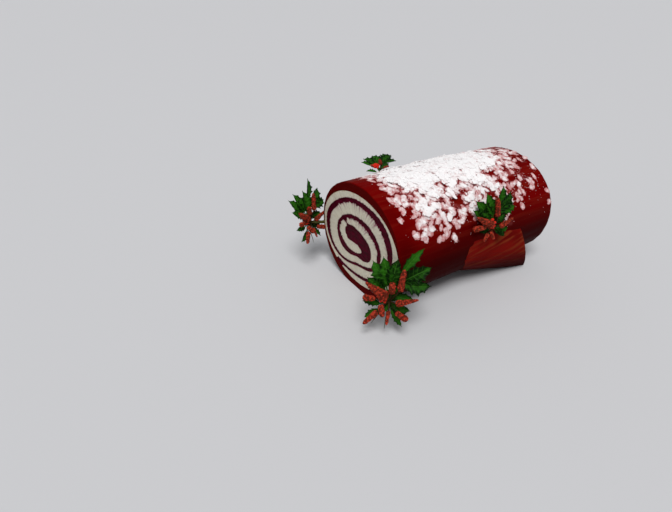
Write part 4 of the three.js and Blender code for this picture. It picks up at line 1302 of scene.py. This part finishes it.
for number, (name, form, hub, facing, anchor, size) in enumerate(SPRIGS):
    placing = sprig_frame(hub, facing, size)
    points, faces, coordinates, tones = [], [], [], []
    for k, leaf in enumerate(form["leaves"] + form.get("small", ())):
        add_leaf(points, faces, coordinates, tones, leaf, 40 * number + k)
    leaf_faces = len(faces)
    inner = placing.inverted() @ (Vector(anchor) * MM)
    middle = Vector((0, 0, TWIG_LAYER))
    path = []
    for k in range(len(TWIG_RADII)):
        wander = Vector((0.25 * math.sin(2.3 * k), 0.2 * math.cos(3.1 * k), 0))
        path.append(inner.lerp(middle, k / (len(TWIG_RADII) - 1)) + wander)
    before = len(points)
    tube(points, faces, path, TWIG_RADII, 12)
    for begin, end in form.get("stems", ()):
        ends = [Vector((*spot, STEM_LAYER)) for spot in (begin, end)]
        tube(points, faces, [ends[0].lerp(ends[1], k / 4) for k in range(5)], STEM_RADII)
    coordinates.extend([(0.0, 0.5)] * (len(points) - before))
    holly = mesh_piece(f"holly_leaves_{name}", [placing @ p for p in points], faces)
    uv = holly.data.uv_layers.new(name="blade")
    corners = np.array([coordinates[loop.vertex_index] for loop in holly.data.loops], np.float32)
    uv.data.foreach_set("uv", corners.ravel())
    point_value(holly, "tone", tones + [0.5] * (len(points) - len(tones)))
    holly.data.materials.append(holly_finish)
    holly.data.materials.append(twig_finish)
    for polygon in holly.data.polygons:
        polygon.material_index = 1 if polygon.index >= leaf_faces else 0
    holly.data.set_sharp_from_angle(angle=LEAF_CREASE)
    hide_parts(f"holly_{name}")
    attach(holly, "root")

# ---------------------------------------------------------------------------------------------------
# Berries. Each sprig carries tapering spikes of many tiny brick-red berries packed around a thin dark
# stalk, and a dozen plump bright ones beside its middle.
BERRY_LAYER = 4.2
BEAD_SIZE = 1.45
BEAD_PITCH = 1.2
SPIKE_STALK_RADII = (0.6, 0.5, 0.45, 0.3)
PLUMP_SIZE = 2.3
PLUMP_COUNT = 12
PLUMP_MIDDLE = Vector((-4.0, 2.6, 2.2))
PLUMP_SPREAD = 0.95
PLUMP_DROOP = 0.22
GOLDEN_TURN = math.pi * (3 - math.sqrt(5))
OCTAHEDRON = ((1, 0, 0), (0, 1, 0), (-1, 0, 0), (0, -1, 0), (0, 0, 1), (0, 0, -1))
OCTAHEDRON_SIDES = (
    (0, 1, 4), (1, 2, 4), (2, 3, 4), (3, 0, 4),
    (1, 0, 5), (2, 1, 5), (3, 2, 5), (0, 3, 5),
)


def halved(corners, sides):
    """A ball's corners and sides with every side split in four."""
    corners, split, middles = list(corners), [], {}

    def middle_of(a, b):
        key = (min(a, b), max(a, b))
        if key not in middles:
            middles[key] = len(corners)
            corners.append((Vector(corners[a]) + Vector(corners[b])).normalized())
        return middles[key]

    for a, b, c in sides:
        ab, bc, ca = middle_of(a, b), middle_of(b, c), middle_of(c, a)
        split += [(a, ab, ca), (ab, b, bc), (ca, bc, c), (ab, bc, ca)]
    return corners, split


bead_ball = halved(OCTAHEDRON, OCTAHEDRON_SIDES)
plump_ball = halved(*bead_ball)


def add_berry(points, faces, shades, ball, middle, radius, shade, draw):
    """One berry, turned at random and a little longer or shorter than it is wide."""
    start = len(points)
    axis = Vector((draw.uniform(-1, 1), draw.uniform(-1, 1), 1)).normalized()
    turn = Matrix.Rotation(draw.uniform(0, math.tau), 3, axis)
    stretch = draw.uniform(0.92, 1.12)
    for corner in ball[0]:
        spot = Vector(corner)
        points.append(middle + turn @ Vector((spot.x, spot.y, spot.z * stretch)) * radius)
        shades.append(shade)
    faces.extend(tuple(start + k for k in side) for side in ball[1])


BERRY_RED = (0.46, 0.046, 0.022, 1)
BERRY_BRIGHT = (0.66, 0.022, 0.012, 1)
BERRY_DULL = (0.105, 0.017, 0.008, 1)
BERRY_STALK = (0.035, 0.022, 0.008, 1)
BERRY_FRECKLES = 900
BERRY_BUMP = 0.2 * MM
berry_finish, tree, shader, where = new_finish("red_berries", Roughness=0.4, Specular_IOR_Level=0.05)
shade = attribute_value(tree, "shade")
freckles = fine_noise(tree, where, BERRY_FRECKLES, 2)
toned = calculated(tree, "ADD", shade, between(tree, freckles, 0.3, 0.7, -0.2, 0.2))
colour = colour_mix(tree, between(tree, toned, 0, 1), BERRY_DULL, BERRY_RED)
colour = colour_mix(tree, between(tree, shade, 1.0, 1.4), colour, BERRY_BRIGHT)
colour = colour_mix(tree, between(tree, shade, -0.9, -0.4, 1, 0), colour, BERRY_STALK)
tree.links.new(colour, shader.inputs["Base Color"])
bumped(tree, shader, freckles, BERRY_BUMP, 0.3)


def spike_place(share, taper):
    """How far along a tapering spike a share of its skin reaches."""
    if abs(taper - 1) < 0.05:
        return share
    return (1 - math.sqrt(1 - share * (1 - taper**2))) / (1 - taper)


for number, (name, form, hub, facing, _, size) in enumerate(SPRIGS):
    placing = sprig_frame(hub, facing, size)
    draw = random.Random(70 + number)
    points, faces, shades = [], [], []
    centre = Vector((0, 0, BERRY_LAYER))
    for (right, up), bearing, length, widths, tilt in form["spikes"]:
        slope = math.tan(math.radians(tilt))
        begin = Vector((right, up, 0))
        foot = begin + Vector((0, 0, BERRY_LAYER + slope * begin.length))
        way = (bearing_way(bearing) + Vector((0, 0, slope))).normalized()
        side = way.orthogonal().normalized()
        over = way.cross(side)
        tip = foot + way * length
        before = len(points)
        tube(points, faces, [centre, foot, foot.lerp(tip, 0.5), tip - way], SPIKE_STALK_RADII)
        shades.extend([-1.0] * (len(points) - before))
        count = round(math.pi * length * (widths[0] + widths[1]) / 2 / BEAD_PITCH**2)
        for k in range(count):
            along = spike_place((k + 0.5) / count, widths[1] / widths[0])
            width = widths[0] + (widths[1] - widths[0]) * along
            rounding = math.sqrt(max(0.05, 1 - max(0.0, (along - 0.8) / 0.22) ** 2))
            rounding *= math.sqrt(max(0.05, 1 - max(0.0, (0.12 - along) / 0.14) ** 2))
            radius = BEAD_SIZE / 2 * draw.uniform(0.8, 1.12)
            out = max(0.0, width / 2 * rounding - radius) * draw.uniform(0.74, 1.08)
            turn = k * GOLDEN_TURN
            around = math.cos(turn) * side + math.sin(turn) * over
            spot = foot + way * (along * (length - radius)) + out * around
            tone = draw.uniform(0.0, 0.95) ** 1.2
            add_berry(points, faces, shades, bead_ball, spot, radius, tone, draw)
    for k in range(PLUMP_COUNT):
        turn = k * GOLDEN_TURN
        out = PLUMP_SPREAD * math.sqrt(k)
        away = Vector((out * math.cos(turn), out * math.sin(turn), -PLUMP_DROOP * out * out / 2))
        spot = centre + PLUMP_MIDDLE + away
        radius = PLUMP_SIZE / 2 * draw.uniform(0.75, 1.05)
        add_berry(points, faces, shades, plump_ball, spot, radius, draw.uniform(1.1, 1.5), draw)
    berries = mesh_piece(f"berry_spikes_{name}", [placing @ p for p in points], faces)
    point_value(berries, "shade", shades)
    berries.data.materials.append(berry_finish)
    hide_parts(f"berries_{name}")
    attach(berries, "root")

# ---------------------------------------------------------------------------------------------------
# Floor, light and camera. The cake stands on a pale matt floor under an even white sky, with one wide soft
# sun high up on the camera's side.
FLOOR_SIZE = 60.0
FLOOR_TONE = (0.61, 0.61, 0.625, 1)
SKY_TONE = (0.97, 0.98, 1.0, 1)
SKY_STRENGTH = 0.38
SUN_STRENGTH = 2.15
SUN_FROM = Vector((-0.28, -0.42, 1.0))
SUN_SOFTNESS = 28
CAMERA_PLACE = Vector((-0.23592, -0.22817, 0.19602))
CAMERA_LOOK = Vector((0.449, 0.7275, -0.5188))
CAMERA_LENS = 23.75
CAMERA_SENSOR = 36
CAMERA_CLIP = (0.01, 200)

bpy.ops.mesh.primitive_plane_add(size=FLOOR_SIZE, location=(0, 0, 0))
floor = bpy.context.active_object
floor.name = "floor"
floor_finish, _, shader, _ = new_finish("pale_floor", Roughness=0.8, Specular_IOR_Level=0.1)
shader.inputs["Base Color"].default_value = FLOOR_TONE
floor.data.materials.append(floor_finish)

world = bpy.data.worlds.new("studio")
bpy.context.scene.world = world
world.use_nodes = True
world.node_tree.nodes["Background"].inputs["Color"].default_value = SKY_TONE
world.node_tree.nodes["Background"].inputs["Strength"].default_value = SKY_STRENGTH

sun_lamp = bpy.data.lights.new("sun", "SUN")
sun_lamp.energy = SUN_STRENGTH
sun_lamp.angle = math.radians(SUN_SOFTNESS)
sun = bpy.data.objects.new("sun", sun_lamp)
sun.rotation_euler = (-SUN_FROM).to_track_quat("-Z", "Y").to_euler()
bpy.context.scene.collection.objects.link(sun)

camera_data = bpy.data.cameras.new("camera")
camera_data.lens = CAMERA_LENS
camera_data.sensor_width = CAMERA_SENSOR
camera_data.clip_start, camera_data.clip_end = CAMERA_CLIP
camera = bpy.data.objects.new("camera", camera_data)
camera.location = CAMERA_PLACE
camera.rotation_euler = CAMERA_LOOK.to_track_quat("-Z", "Y").to_euler()
bpy.context.scene.collection.objects.link(camera)
bpy.context.scene.camera = camera
bpy.context.scene.view_settings.view_transform = "Standard"
